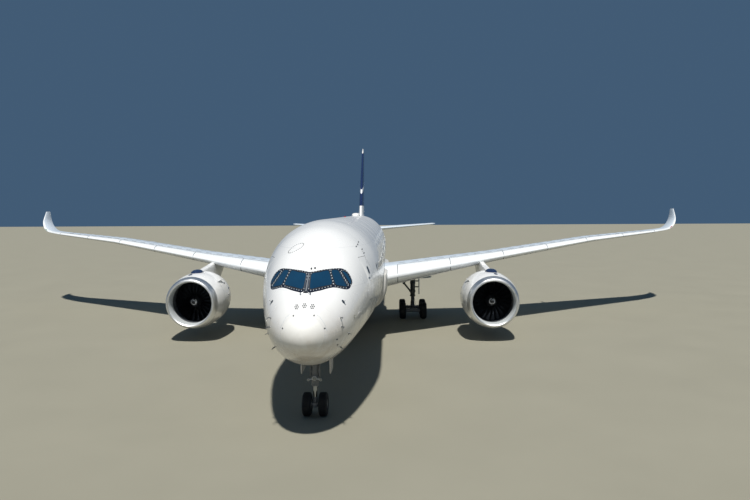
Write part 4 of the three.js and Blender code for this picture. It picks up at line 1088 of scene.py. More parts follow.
# middle of the hatch from above, and its two half axes
HATCH, HATCH_ACROSS, HATCH_ALONG = np.array(((-0.8, 4.76), (0.3, -0.065), (0.14, 0.285)))
turns = circle(48)[:, None]
hatch_outline = HATCH + np.cos(turns) * HATCH_ACROSS + np.sin(turns) * HATCH_ALONG
dots = screwed(evenly(hatch_outline, 0.085), from_above, 0.024, 6)
dots += screwed(((0.075, 2.93), (0.22, 2.98)), from_above, 0.035, 12, 0.06, 0.02)
dots += screwed(np.linspace((6.73, 7.26), (6.26, 6.67), 8), from_side(1), 0.026, 6, 0.004)
piece("crown_screws", dots, sealant)

# short fittings beside the first door on the port side, and the joint of the radome, seen from ahead
FITTINGS = (((7.4, 7.62), (7.15, 7.57)), ((6.95, 7.53), (6.7, 7.48)), ((6.5, 7.45), (6.3, 7.41)),
            ((6.95, 7.3), (6.75, 7.26)), ((6.82, 7.13), (6.62, 7.09)))
RADOME_ARCS = (((-0.86, 4.62), (-0.752, 4.821), (-0.645, 5.022), (-0.5, 5.14)),
               ((0.92, 4.5), (0.845, 4.734), (0.673, 5.0), (0.54, 5.12)))
for name, paths, steps, send, width, material in (
    ("nose_fittings", FITTINGS, 4, from_side(1), 0.05, sealant),
    ("radome_joint", RADOME_ARCS, 5, from_ahead, 0.014, marking_light),
):
    piece(name, [hull_ribbon(send(curve(path, steps)), width, 0.004) for path in paths], material)
print("studs on the nose:", len(studs), "and on the crown:", len(dots))

# %% [markdown]
# Wings, fin and tailplane share one family of sections, thickest ahead of the middle. A table
# gives the section at a few places along the span. The straight panels run between its rows, and
# the curved tip is a smooth line through the last rows, with many rings so that it shades well.

# %% Aerofoil surfaces
# lateral, leading-edge station, nose level, chord, thickness ratio, incidence, cant
WING = np.array([
    (3.2, 22.55, 4.42, 13.35, 0.13, 4.3, 0), (11.6, 28.43, 5.38, 7.77, 0.112, 2.0, 0),
    (21.2, 35.15, 6.47, 4.98, 0.1, 0.5, 0), (28.8, 40.47, 7.02, 2.93, 0.095, 0, 3),
    (30.6, 42.1, 7.2, 2.55, 0.09, 0, 18), (31.5, 43.1, 7.55, 2.3, 0.085, 0, 40),
    (32.1, 44.1, 8.2, 1.85, 0.08, 0, 62), (32.36, 45.3, 9.2, 0.85, 0.075, 0, 80),
])
TAILPLANE = np.array([
    (0.3, 57.61, 6.85, 6.23, 0.09, 0, 0), (9.0, 64.14, 7.42, 2.53, 0.09, 0, 0),
    (9.34, 64.75, 7.45, 2.05, 0.05, 0, 0),
])
# level, leading-edge station, chord, thickness ratio
FIN = np.array([
    (7.6, 53.14, 9.2, 0.07), (8.9, 54.38, 8.38, 0.07), (16.6, 61.77, 3.48, 0.075),
    (17.05, 62.4, 2.85, 0.04),
])
CAMBER, EDGE_THICKNESS = 0.016, 0.016
AIRFOIL_STEPS = 22
TURN = np.arange(AIRFOIL_STEPS, -AIRFOIL_STEPS - 1, -1)  # from the trailing edge over the top and back below
FRACTION = (1 - np.cos(np.pi * np.abs(TURN) / AIRFOIL_STEPS)) / 2  # of the chord, at each of those steps
SIDE_SHIFT = 0.0006  # the wings stand that far outside the fairing's flat side


def row_at(table, place):
    """The row of a table at a place between its rows, by its first column."""
    return np.array([np.interp(place, table[:, 0], column) for column in table.T])


def half_thickness(fraction, ratio, chord):
    """Half the thickness of a section at a fraction of its chord."""
    x = np.asarray(fraction, float)
    shape = 0.2969 * np.sqrt(x) - 0.126 * x - 0.3516 * x**2 + 0.2843 * x**3 - 0.1036 * x**4
    return 5 * ratio * chord * shape + EDGE_THICKNESS / 2 * x


def on_section(row, fraction, above, camber, sign):
    """Points of a section at chord fractions, so many half thicknesses above the mean line."""
    lateral, lead, level, chord, ratio, incidence, cant = row
    tilt, lean = math.radians(incidence), math.radians(cant)
    height = 4 * camber * chord * fraction * (1 - fraction) + above * half_thickness(fraction, ratio, chord)
    aft = fraction * chord
    return spots(sign * (lateral - height * math.sin(lean)),
                 lead + aft * math.cos(tilt) + height * math.sin(tilt),
                 level - aft * math.sin(tilt) + height * math.cos(tilt) * math.cos(lean))


ROW_SPACING = 1.1  # between the rows of a wing's straight panels


def finer(table, straight_rows):
    """More rows: even ones along the straight panels, then a smooth line to the tip."""
    rows = []
    for a, b in zip(table[:straight_rows], table[1:straight_rows + 1]):
        count = max(2, round((b[0] - a[0]) / ROW_SPACING))
        rows += [a + (b - a) * t for t in np.arange(count) / count]
    tip = table[straight_rows:]
    rows += list(curve(tip, 5)) if len(tip) > 1 else [tip[0]]
    return np.array(rows)


def span_point(table, camber, lateral, fraction, sign, above=0.0):
    """A point on a surface by its lateral and chord fraction, and the half thickness there."""
    k = max(1, int(np.searchsorted(table[:, 0], lateral)))
    t = (lateral - table[k - 1, 0]) / (table[k, 0] - table[k - 1, 0])
    pair = [on_section(row, fraction, above, camber, sign) for row in table[k - 1:k + 1]]
    halves = [half_thickness(fraction, row[4], row[3]) for row in table[k - 1:k + 1]]
    return pair[0] + (pair[1] - pair[0]) * t, halves[0] + (halves[1] - halves[0]) * t


print("rings of a wing:", len(finer(WING, 3)))

# %% [markdown]
# A control surface turns in a hollow of what carries it, so both are cut from one wing by the
# same region: all that lies aft of the hinge line, with a round nose about it. The carrier loses
# a slightly larger region, and what is left between them is the running gap.

# %% Regions aft of a hinge line
REGION_REACH = 12.0
SURFACE_GAP, RUNNING = 0.016, 0.012


def swept_region(inner, outer, radii, set_back=0.0, lengthen=0.0, notch=0.0, up=(0, 0, 1)):
    """The space that a surface sweeps out behind its hinge line."""
    axis = unit(outer - inner)
    aft = unit(np.array((0, 1.0, 0)) - axis * axis[1])
    over_side = np.cross(axis, aft)
    over_side *= np.sign(over_side @ np.asarray(up))
    rings = []
    for centre, radius in ((inner - axis * lengthen, radii[0]), (outer + axis * lengthen, radii[1])):
        opening = math.acos(-set_back / radius)
        sweep = 2 * (math.pi - opening) + math.radians(notch)
        turns = np.linspace(opening, opening + sweep, 17)
        flat = [(REGION_REACH, -REGION_REACH), (REGION_REACH, REGION_REACH), (-set_back, REGION_REACH),
                *spots(radius * np.cos(turns), radius * np.sin(turns)),
                (radius if notch else -set_back, -REGION_REACH)]
        rings.append([centre + aft * a + over_side * b for a, b in flat])
    return loft(rings)


def skinned(name, rings, material):
    """A solid through rings, and the smooth skin that shades what is cut from it."""
    return solid(name, loft(rings), material), Skin(loft(rings, "open"))


def split(source, name, region, wider, material):
    """Parts a solid: a copy keeps what lies in the region, and the source loses a wider one."""
    tools = [solid("region", region, material), solid("wider", wider, material)]
    part = bpy.data.objects.new(name, source.data.copy())
    bpy.context.scene.collection.objects.link(part)
    with_boolean(part, tools[:1], "INTERSECT")
    with_boolean(source, tools[1:])
    removed(tools)
    return part


def cut_surface(name, source, region, wider, skin, material):
    """Cuts a moving surface out of a solid."""
    surface = split(source, f"{name}_surface", region, wider, material)
    skin.shade(surface)
    dressed(surface, name, [name])


def hinged(name, source, ends, skin, material, up=(0, 0, 1)):
    """A surface with a round nose and its pin, by the hinge point and half thickness at both ends."""
    (inner, outer), radii = zip(*ends)
    radii = np.array(radii)
    region = swept_region(inner, outer, radii, up=up)
    wider = swept_region(inner, outer, radii + SURFACE_GAP, SURFACE_GAP, RUNNING, up=up)
    cut_surface(name, source, region, wider, skin, material)
    reach = unit(outer - inner) * (RUNNING - 2 * SEAT)
    piece(f"{name}_pin", tube([inner - reach, outer + reach], radii[1] * 0.5, 16), stainless_steel, name)


print("gap at a control surface:", round(SURFACE_GAP * 1000 * MODEL_SCALE, 1), "mm on the model")

# %% [markdown]
# Each wing carries two flaps and an aileron. The flaps hang from pins at the foot of their track
# fairings, the slim pods under the wing. A pod is split at the flap's hinge: its front part stays
# with the wing, and its tail swings down with the flap.

# %% Wings, flaps and ailerons
FLAPS = (
    ("flap_inboard", (3.62, 11.1), ((4.3, 33.86), (8.6, 34.03)), 0.34),
    ("flap_outboard", (12.15, 20.95), ((13.9, 35.43), (18.7, 37.73)), 0.26),
)
FLAP_PIN, FLAP_NOTCH, PIN_GAP = 0.024, 50, 0.0009
AILERON_ENDS, AILERON_FRACTION = (21.95, 28.3), 0.74
POD_AHEAD, POD_BEHIND, POD_HALF, POD_SIDES = 2.3, 2.5, 0.17, 24
# station from the pin, half width, bottom and top over the pod's foot
POD = curve([
    (-POD_AHEAD, 0.02, 0.5, 0.56), (-POD_AHEAD / 2, POD_HALF * 0.85, 0.1, 0.7), (0, POD_HALF, 0, 0.65),
    (POD_BEHIND * 0.4, POD_HALF * 0.8, 0.03, 0.55), (POD_BEHIND, 0.02, 0.2, 0.24),
], 5)
ROOT_INSIDE = 2.4  # the wing's root is carried on into the hull, behind the fairing
SLAT_FRACTION = (1 - math.cos(math.pi * 5 / AIRFOIL_STEPS)) / 2  # the slats end at the fifth step
root_row = WING[0] + (WING[1] - WING[0]) * (ROOT_INSIDE - WING[0, 0]) / (WING[1, 0] - WING[0, 0])
WING_ROWS = finer(np.vstack([root_row, WING[1:]]), 3)


def flap_foot(lateral, station, drop, sign):
    """Where a flap's pin stands: below the wing's underside, at the foot of its pod."""
    _, lead, _, chord = row_at(WING, lateral)[:4]
    under, _ = span_point(WING, CAMBER, lateral, (station - lead) / chord, sign, -1)
    return np.array((sign * (lateral + SIDE_SHIFT), station, under[2] - drop))


def track_pod(foot):
    """A track fairing: a slim pod about the foot of its pin."""
    angles = circle(POD_SIDES)
    return loft([spots(foot[0] + half * np.sin(angles), foot[1] + along,
                       foot[2] - FLAP_PIN + (low + high) / 2 + (high - low) / 2 * np.cos(angles))
                 for along, half, low, high in POD])


def half_wing(side, sign):
    """One wing with its flaps, aileron and pods."""
    shift = np.array((sign * SIDE_SHIFT, 0, 0))
    rings = [on_section(row, FRACTION, np.sign(TURN), CAMBER, sign) + shift for row in WING_ROWS]
    wing, skin = skinned(f"wing_{side}_skin", rings, wing_grey)
    for kind, ends, pins, drop in FLAPS:
        name = f"{kind}_{side}"
        feet = [flap_foot(*pin, drop, sign) for pin in pins]
        slope = (feet[1] - feet[0]) / abs(feet[1][0] - feet[0][0])
        line = [feet[0] + slope * (lateral - pins[0][0]) for lateral in ends]
        region = swept_region(*line, (FLAP_PIN, FLAP_PIN), notch=FLAP_NOTCH)
        wider = swept_region(*line, (FLAP_PIN + PIN_GAP, FLAP_PIN + PIN_GAP), RUNNING, RUNNING)
        cut_surface(name, wing, region, wider, skin, wing_grey)
        for k, foot in enumerate(feet):
            pod = solid(f"{name}_pod_{k}", track_pod(foot), wing_grey)
            tail = split(pod, f"{name}_pod_tail_{k}", region, wider, wing_grey)
            dressed(pod, "airframe")
            dressed(tail, name)
    hinge = [span_point(WING, CAMBER, lateral, AILERON_FRACTION, sign) for lateral in AILERON_ENDS]
    hinged(f"aileron_{side}", wing, [(point + shift, half) for point, half in hinge], skin, wing_grey)
    skin.shade(wing)
    dressed(wing, "airframe", [f"wing_{side}"])
    # The slats' faces take the whiter enamel, the painted highlight of the leading edge.
    wing.data.materials.append(slat_white_painted_highlight)
    for face in wing.data.polygons:
        x, station = abs(face.center.x) / MODEL_SCALE, face.center.y / MODEL_SCALE + LENGTH / 2
        _, lead, _, chord = row_at(WING, x)[:4]
        if station < lead + SLAT_FRACTION * chord:
            face.material_index = len(wing.data.materials) - 1


for side, sign in SIDES:
    half_wing(side, sign)
print("wing triangles:", tally["wing_left_skin"])

# %% [markdown]
# A wing is a patchwork of shut panels: slats along the leading edge, spoilers ahead of the flaps,
# and oval covers over the fuel tanks below. Only their edges show, so each is a thin dark ribbon
# that lies on the section. Painted dashes mark where people may walk on it. Wicks at the trailing
# edges let static charge leak into the air.

# %% Slats, spoilers, tank covers and wicks
WING_LINE, WING_LINE_RISE, NOSE_FRACTION = 0.05, 0.01, 0.004
SLAT_BREAKS = (3.9, 7.9, 12.4, 16.5, 20.6, 24.7, 28.6)
# each row of spoilers: laterals of its ends, front and back chord fractions there, panels in it
SPOILERS = (((3.9, 11.0), (0.78, 0.656), (0.83, 0.742), 3), ((12.2, 20.9), (0.657, 0.618), (0.753, 0.75), 5))
DASH, DASH_ROWS = 0.5, (0.17, 0.34)  # length of a painted walkway dash and of its gap, and their fractions
# chord fraction of each row of tank covers, and where it ends
COVER_START, COVER_PITCH, COVER_ROWS = 5.2, 1.15, ((0.36, 27.5), (0.56, 9.2))


def on_wing(flat, above, sign):
    """Points on a wing's skin from (lateral, chord fraction)."""
    return np.array([span_point(WING_ROWS, CAMBER, x, f, sign, above)[0] for x, f in flat])


def wing_ribbon(path, above, sign, width=WING_LINE):
    """A thin line on a wing's skin through points of (lateral, chord fraction)."""
    path = np.asarray(path, float)
    far = np.linspace(0, len(path) - 1, 1 + 12 * (len(path) - 1))
    flat = spots(*(np.interp(far, np.arange(len(path)), column) for column in path.T))
    at, outward, aft = (on_wing(flat + step, above, sign) for step in ((0, 0), (0.02, 0), (0, 0.002)))
    normals = unit(np.cross(outward - at, aft - at) * sign * above)
    return ribbon(at + (sign * SIDE_SHIFT, 0, 0), normals, width, WING_LINE_RISE, 0.02)


def wing_panels(sign):
    """The edges of slats and spoilers on one wing."""
    slats = [[(x, SLAT_FRACTION) for x in (SLAT_BREAKS[0], 11.6, 21.2, SLAT_BREAKS[-1])],
             *([(x, NOSE_FRACTION), (x, SLAT_FRACTION)] for x in SLAT_BREAKS)]
    spoilers = []
    for ends, front, back, count in SPOILERS:
        spoilers += [[*zip(ends, front)], [*zip(ends, back)]]
        spoilers += [[(x, np.interp(x, ends, edge)) for edge in (front, back)]
                     for x in np.linspace(*ends, count + 1)]
    return [*(wing_ribbon(row, 1, sign) for row in slats + spoilers),
            *(wing_ribbon([(x, f / 2) for x, f in row], -1, sign) for row in slats)]


def tank_cover(lateral, fraction, sign):
    """An oval cover under the wing."""
    outline = (lateral, fraction) + disc((0, 0), 0.3, 20) * (1, 0.6 / row_at(WING, lateral)[3])
    return plate(outline, lambda flat: on_wing(flat, -1, sign), 0.006, 0.03,
                 normals=lambda points: np.broadcast_to((0.0, 0.0, -1.0), points.shape))


def wicks(name, table, laterals, sign, body="airframe"):
    """Static wicks on the trailing edge of a surface."""
    feet = [span_point(table, 0.0, x, 1.0, sign)[0] for x in laterals]
    bars = [tube([foot - (0, 0.04, 0), foot + (0, 0.3, -0.02)], (0.014, 0.008), 8) for foot in feet]
    piece(f"{name}_wicks", bars, hose_rubber, body)


for side, sign in SIDES:
    piece(f"wing_{side}_panel_edges", wing_panels(sign), marking_grey)
    dashes = [wing_ribbon([(x, fraction), (x + DASH, fraction)], 1, sign, 0.06)
              for fraction in DASH_ROWS for x in np.arange(4.0, 27.5, 2 * DASH)]
    piece(f"wing_{side}_walkway_dashes", dashes, marking_grey)
    covers = [tank_cover(x, fraction, sign)
              for fraction, end in COVER_ROWS for x in np.arange(COVER_START, end, COVER_PITCH)]
    piece(f"wing_{side}_tank_covers", covers, bare_aluminium)
    wicks(f"wing_{side}", WING, (28.9, 29.7, 30.4), sign)
    wicks(f"aileron_{side}", WING, (22.6, 24, 25.4, 26.8, 28.1), sign, f"aileron_{side}")
    lens = [span_point(WING, CAMBER, x, NOSE_FRACTION, sign)[0] for x in np.linspace(30.9, 31.3, 5)]
    piece(f"wing_{side}_nav_light", tube(lens, (0.01, 0.03, 0.04, 0.03, 0.01), 12),
          [beacon_red if sign > 0 else nav_green])
print("edge ribbons on a wing:", len(wing_panels(1)), "tank covers:", len(covers))

# %% [markdown]
# The fin stands in the tail cone, and its rudder is cut out in the same way as an aileron. The
# tailplane is one solid on its trim shaft: both halves end at a slanted root that clears the
# hull, and each carries an elevator.

# %% Fin and rudder
RUDDER_ENDS, RUDDER_FRACTION = (9.75, 16.25), 0.7
fin_rings = []
for level, lead, chord, ratio in finer(FIN, 2):
    half = np.sign(TURN) * half_thickness(FRACTION, ratio, chord)
    fin_rings.append(spots(half, lead + FRACTION * chord, level))
fin, fin_skin = skinned("fin_skin", fin_rings, fin_paint)
rudder_ends = []
for level, lead, chord, ratio in (row_at(FIN, level) for level in RUDDER_ENDS):
    point = np.array((0, lead + RUDDER_FRACTION * chord, level))
    rudder_ends.append((point, float(half_thickness(RUDDER_FRACTION, ratio, chord))))
hinged("rudder", fin, rudder_ends, fin_skin, fin_paint, up=(1, 0, 0))
fin_skin.shade(fin)
dressed(fin, "airframe", ["fin"])
print("fin triangles:", tally["fin_skin"])

# %% Tailplane and elevators
TAIL_PIVOT, TAIL_SHAFT, TAIL_SHAFT_HALF = (61.2, 6.89), 0.12, 2.2
# half width and station of the slanted roots, and the ends and levels of the wedge cut out between them
ROOT_LINE, WEDGE_ENDS, WEDGE_LEVELS = ((1.93, 57.6), (0.95, 63.0)), (55.0, 68.0), (5.0, 10.0)
ELEVATOR_ENDS, ELEVATOR_FRACTION = (1.95, 8.7), 0.68

halves, stations = zip(*ROOT_LINE)
rate = (halves[1] - halves[0]) / (stations[1] - stations[0])
ahead, behind = (max(halves[0] + rate * (s - stations[0]), 0.05) for s in WEDGE_ENDS)
start, end = WEDGE_ENDS
outline = ((ahead, start), (behind, end), (-behind, end), (-ahead, start))
wedge = solid("wedge", loft([[(x, s, z) for x, s in outline] for z in WEDGE_LEVELS]), wing_grey)
for side, sign in SIDES:
    rings = [on_section(row, FRACTION, np.sign(TURN), 0.0, sign) for row in finer(TAILPLANE, 1)]
    half, tail_skin = skinned(f"tailplane_{side}_skin", rings, wing_grey)
    with_boolean(half, [wedge])
    hinge = [span_point(TAILPLANE, 0.0, lateral, ELEVATOR_FRACTION, sign) for lateral in ELEVATOR_ENDS]
    hinged(f"elevator_{side}", half, hinge, tail_skin, wing_grey)
    tail_skin.shade(half)
    dressed(half, "tailplane")
removed([wedge])
shaft = tube([(end * TAIL_SHAFT_HALF, *TAIL_PIVOT) for end in (-1, 1)], TAIL_SHAFT, 32)
piece("tailplane_shaft", shaft, stainless_steel, body="tailplane", stands_for=["tailplane"])
for side, sign in SIDES:
    wicks(f"elevator_{side}", TAILPLANE, (3, 5, 7, 8.4), sign, f"elevator_{side}")
print("tailplane triangles:", tally["tailplane_left_skin"])

# %% [markdown]
# The belly fairing is a smooth saddle that hides the wing's centre box and the gear bays. Its
# sections are rounded boxes whose upper edge dips into the hull, so that it grows out of the
# skin without a step.

# %% Belly fairing
# station, half width, top, bottom
BELLY = curve([
    (19.2, 1.6, 3.4, 2.62), (21.0, 2.7, 4.3, 2.3), (23.0, 3.2, 4.9, 2.12), (36.2, 3.2, 4.7, 2.12),
    (38.4, 2.7, 4.2, 2.3), (40.6, 1.6, 3.4, 2.62),
], 8)
BELLY_SQUARENESS, BELLY_ARC, BELLY_INSIDE = 3.6, 49, 0.25


def belly_ring(row):
    """A section of the fairing: a rounded box, open upward into the hull."""
    station, half, top, bottom = row
    angles, power = np.linspace(0, np.pi, BELLY_ARC), 2 / BELLY_SQUARENESS
    arc = spots(half * np.sign(np.cos(angles)) * np.abs(np.cos(angles)) ** power, station,
                top - (top - bottom) * np.abs(np.sin(angles)) ** power)
    return np.vstack([arc, [(end * half * 0.8, station, top + BELLY_INSIDE) for end in (-1, 1)]])


piece("belly_fairing_skin", loft([belly_ring(row) for row in BELLY]), belly_grey,
      stands_for=["belly_fairing"], sharp=40)
print("belly fairing triangles:", tally["belly_fairing_skin"])

# %% [markdown]
# An engine hangs from its pylon in one smooth cowl. The cowl's profile is one closed line, turned
# round the engine's own axis: lip, outer cowl, nozzle edge, and the duct back to the lip. The lip
# is polished bare metal, satin inside down to the throat, and the duct behind it is an acoustic
# liner, so faces are told apart by where they lie on the profile.

# %% Nacelles
ENGINE_LATERAL, ENGINE_LEVEL, ENGINE_SIDES = 10.5, 2.74, 96
ENGINES = [(side, sign, (sign * ENGINE_LATERAL, 0, ENGINE_LEVEL)) for side, sign in SIDES]
NACELLE = (
    (1.57, 21.45), (1.68, 21.52), (1.8, 21.9), (1.94, 23.0), (1.97, 24.2), (1.91, 25.5), (1.5, 27.2),
    (1.46, 27.2), (1.53, 25.8), (1.5, 23.4), (1.5, 22.8), (1.44, 22.05), (1.48, 21.58),
)
OUTER_COUNT = 7
LIP_START, LIP_END, THROAT = 21.5, 21.97, 22.35
STRAKE_TURN = 48  # degrees from the top
outer_cowl = curve(NACELLE[:OUTER_COUNT], 7)
inner_duct = curve([*NACELLE[OUTER_COUNT:], NACELLE[0]], 5)[:-1]


def cowl_radius(station):
    """The outer radius of a cowl at a station."""
    return np.interp(station, outer_cowl[:, 1], outer_cowl[:, 0])


def nacelle_finish(sign):
    """Which finish each face of a cowl has: lip, outer cowl or duct."""
    def pick(centres):
        across, station, level = centres.T
        inside = np.hypot(across - sign * ENGINE_LATERAL, level - ENGINE_LEVEL) < cowl_radius(station) - 0.02
        metal = np.where(inside & (station > LIP_START), 3, 0)
        return np.where(station < np.where(inside, THROAT, LIP_END), metal, np.where(inside, 2, 1))
    return pick


def ring_line(station):
    """A raised line once round a cowl."""
    edge = [(cowl_radius(station) + rise, station + half)
            for rise, half in ((-0.01, -0.006), (0.003, -0.006), (0.003, 0.006), (-0.01, 0.006))]
    return revolve(edge, ENGINE_SIDES, "joined")


def strake(sign):
    """The small fin on the inboard side of a cowl that steers its vortex over the wing."""
    rings = [[(across, station, cowl_radius(station) + rise)
              for across, rise in ((-0.018, -0.05), (0.018, -0.05), (0.008, height), (-0.008, height))]
             for station, height in ((23.3, 0.01), (23.6, 0.09), (24.2, 0.2), (24.45, 0.21))]
    return rolled(loft(rings), -sign * STRAKE_TURN)


for side, sign, offset in ENGINES:
    cowl = placed(revolve([*outer_cowl, *inner_duct], ENGINE_SIDES, "joined"), offset)
    piece(f"nacelle_{side}_cowl", cowl, [polished_aluminium, cowl_white, acoustic_liner, throat_metal],
          stands_for=[f"nacelle_{side}"], pick=nacelle_finish(sign), sharp=50)
    lines = merged([ring_line(station) for station in (LIP_END, 23.55, 25.45)])
    piece(f"nacelle_{side}_seams", lines, marking_grey, at=offset)
    piece(f"nacelle_{side}_strake", strake(sign), cowl_white, at=offset)
print("cowl triangles:", tally["nacelle_left_cowl"])

# %% [markdown]
# The fan has twenty-two wide blades. Each blade's section turns from steep at the hub to flat at
# the tip, and leans aft. The spinner is a smooth cone with a white spiral, which warns people on
# the ground that the fan is turning. All of it rides on the fan's own body.

# %% Fans
FAN_BLADES, FAN_PLANE, FAN_BACK = 22, 23.08, 23.6
# radius, chord, stagger in degrees, thickness, sweep aft
BLADE = curve([(0.4, 0.42, 22, 0.05, 0.0), (0.9, 0.52, 44, 0.034, -0.03), (1.472, 0.56, 62, 0.02, 0.05)], 7)
BLADE_SECTION = (
    (-0.5, 0.0), (-0.42, 0.28), (-0.2, 0.5), (0.1, 0.42), (0.35, 0.2), (0.5, 0.0),
    (0.35, -0.2), (0.1, -0.42), (-0.2, -0.5), (-0.42, -0.28),
)
SPINNER = curve([(0, 22.3), (0.12, 22.38), (0.3, 22.66), (0.43, 22.95), (0.6, FAN_BACK)], 7)
# the line that the white curls lie on, and their stations, angles in half turns, and width
SPINNER_FRONT = curve([(0, 22.3), (0.12, 22.38), (0.3, 22.66), (0.43, 22.95)], 6)
CURLS = (((22.475, 22.475), (0.15, 1.95), 0.05), ((22.35, 22.42), (-0.2, 0.7), 0.06))
CURL_SLOPE, CURL_STEPS = -0.75, 40


def fan_blade():
    """One blade, standing up from the hub."""
    rings = []
    for radius, chord, stagger, thickness, sweep in BLADE:
        run, off = (np.array(BLADE_SECTION) * (chord, thickness)).T
        sine, cosine = math.sin(math.radians(stagger)), math.cos(math.radians(stagger))
        around, aft = run * sine + off * cosine, FAN_PLANE + sweep + run * cosine - off * sine
        rings.append(spots(around, aft, np.sqrt(radius**2 - around**2)))
    return loft(rings)


def curl(stations, turns, width):
    """A line of white enamel on the spinner that turns with the fan."""
    station, angle = np.linspace(*stations, CURL_STEPS), np.pi * np.linspace(*turns, CURL_STEPS)
    radius = np.interp(station, SPINNER_FRONT[:, 1], SPINNER_FRONT[:, 0])
    normals = unit(spots(np.sin(angle), CURL_SLOPE, np.cos(angle)))
    return ribbon(spots(radius * np.sin(angle), station, radius * np.cos(angle)), normals, width, 0.004)


for side, _, offset in ENGINES:
    body = f"fan_{side}"
    blades = merged([rolled(fan_blade(), 360 * k / FAN_BLADES) for k in range(FAN_BLADES)])
    piece(f"{body}_blades", blades, fan_titanium_painted_shade, body, [body], sharp=50, at=offset)
    spinner = revolve([*SPINNER, (0, FAN_BACK)], 48)
    piece(f"{body}_spinner", spinner, spinner_black, body, at=offset)
    piece(f"{body}_spiral", [curl(*row) for row in CURLS], spinner_white, body, at=offset)
print("fan triangles:", tally["fan_left_blades"])

# %% [markdown]
# Behind the fan stand the outlet vanes, and out of the back come the core's nozzle and its plug.
# The hot part is nickel alloy that heat has turned brown. The pylon is a smooth upright body that
# carries the engine's weight into the wing.

# %% Cores and pylons
CORE = (
    (0, FAN_BACK + 2 * SEAT), (0.3, FAN_BACK + 2 * SEAT), (0.3, 23.64), (0.7, 23.64),
    (0.98, 25.2), (0.95, 26.6), (0.62, 28.6), (0.58, 28.6), (0.5, 28.2), (0.46, 28.25),
    (0.34, 29.1), (0.12, 29.5), (0, 29.6),
)
VANE_COUNT, VANE_STATION, VANE_CHORD, DUCT_RADIUS = 36, 24.75, 0.5, 1.515
STRUT_STATION, STRUT_CHORD, STRUT_ENDS = 26.1, 0.8, (0.6, 1.52)
HOT_START, PYLON_HALF, PYLON_SIDES = 26.62, 0.24, 28
# station, bottom, top, half width
PYLON = curve([
    (23.3, 4.5, 4.62, 0.05), (24.4, 4.32, 4.84, 0.2), (26.4, 3.45, 5.02, PYLON_HALF),
    (28.0, 3.2, 5.16, PYLON_HALF), (29.2, 3.7, 5.16, PYLON_HALF), (30.6, 4.45, 5.16, 0.2),
    (31.6, 4.9, 5.16, 0.04),
], 6)


def outlet_vane(angle):
    """One outlet vane between the core and the duct wall."""
    return rolled(loft([[(across * 0.03 + 0.06 * (along + 0.5), VANE_STATION + along * VANE_CHORD, radius)
                         for along, across in BLADE_SECTION] for radius in (0.72, 1.1, DUCT_RADIUS)]), angle)


def pylon_ring(row, middle):
    """A section of the pylon: an upright rounded box."""
    station, bottom, top, half = row
    angles = circle(PYLON_SIDES)
    x, z = (np.sign(wave) * np.abs(wave) ** 0.5 for wave in (np.cos(angles), np.sin(angles)))
    return spots(middle + half * x, station, (top + bottom) / 2 + (top - bottom) / 2 * z)


core_line = [*CORE[:4], *curve(CORE[3:7], 8)[1:], *CORE[7:9], *curve(CORE[9:], 6)]
strut = loft([[(across * 0.1, STRUT_STATION + along * STRUT_CHORD, level) for along, across in BLADE_SECTION]
              for level in STRUT_ENDS])
vanes = merged([*(outlet_vane(360 * (k + 0.5) / VANE_COUNT) for k in range(VANE_COUNT)), strut])
for side, _, offset in ENGINES:
    core = f"engine_core_{side}"
    piece(f"{core}_body", revolve(core_line, 64), [vane_composite, nozzle_alloy],
          stands_for=[core], sharp=45,
          pick=lambda centres: (centres[:, 1] > HOT_START).astype(int), at=offset)
    piece(f"{core}_vanes", vanes, vane_composite, sharp=50, at=offset)
    piece(f"pylon_{side}_body", loft([pylon_ring(row, offset[0]) for row in PYLON]), cowl_white,
          stands_for=[f"pylon_{side}"], sharp=50)
print("core triangles:", tally["engine_core_left_body"])

# %% [markdown]
# A tyre on an airliner has no tread blocks, only deep grooves all the way round. The wheel is a
# pair of forged halves with ten windows for cooling air, bolted together, with a stack of carbon
# brake discs inside the main wheels. Every wheel pair turns about its own axle.

# %% Tyres and wheels
TYRE_SIDES, BEAD_SHARE = 72, 0.56
# profiles of a bolt, of the boss at a window and of a brake disc, as radius and side
BOLT = ((0.001, 0), (0.014, 0), (0.014, 0.03), (0.001, 0.03))
BOSS = ((0.001, 0), (0.034, 0), (0.03, 0.012), (0.001, 0.012))
BRAKE_DISC = ((0.19, -0.016), (0.3, -0.016), (0.3, 0.016), (0.19, 0.016))
GROOVES, GROOVE_DEPTH, GROOVE_HALF = (-0.42, -0.14, 0.14, 0.42), 0.014, 0.009
WHEEL_WINDOWS, WHEEL_BOLTS = 10, 20
DISCS, DISC_PITCH = 5, 0.045
# shares of the bead's radius and of half the width, round the rim and along the web and the hub
RIM = ((1.04, -0.76), (1, -0.7), (1, 0.7), (1.04, 0.76),
       (0.95, 0.78), (0.9, 0.6), (0.9, -0.6), (0.95, -0.78))
WEB = ((0.91, 0.34), (0.7, 0.22), (0.42, 0.3), (0.34, 0.62))
HUB = ((0.3, 0.62), (0.28, 0.8), (0.2, 0.86))


def tyre_shape(radius, width, centre):
    """A tyre with round shoulders and grooves round its tread."""
    half = width / 2
    left = curve([(radius * BEAD_SHARE, -half * 0.72), (radius * 0.66, -half * 0.93), (radius * 0.8, -half),
                  (radius * 0.965, -half * 0.74), (radius - 0.004, -half * 0.55)], 5)
    tread = [(radius - depth, share * half + end * GROOVE_HALF) for share in GROOVES
             for depth, end in ((0, -1), (GROOVE_DEPTH, -0.5), (GROOVE_DEPTH, 0.5), (0, 1))]
    return wheel_turned([*left, *tread, *(left[::-1] * (1, -1))], TYRE_SIDES, centre)


def studded(profile, sides, count, reach, side, first=0.0):
    """Small turned studs at even angles round an axle."""
    stud = wheel_turned(profile, sides)
    return [placed(stud, (side, reach * math.sin(angle), reach * math.cos(angle)))
            for angle in circle(count) + first]


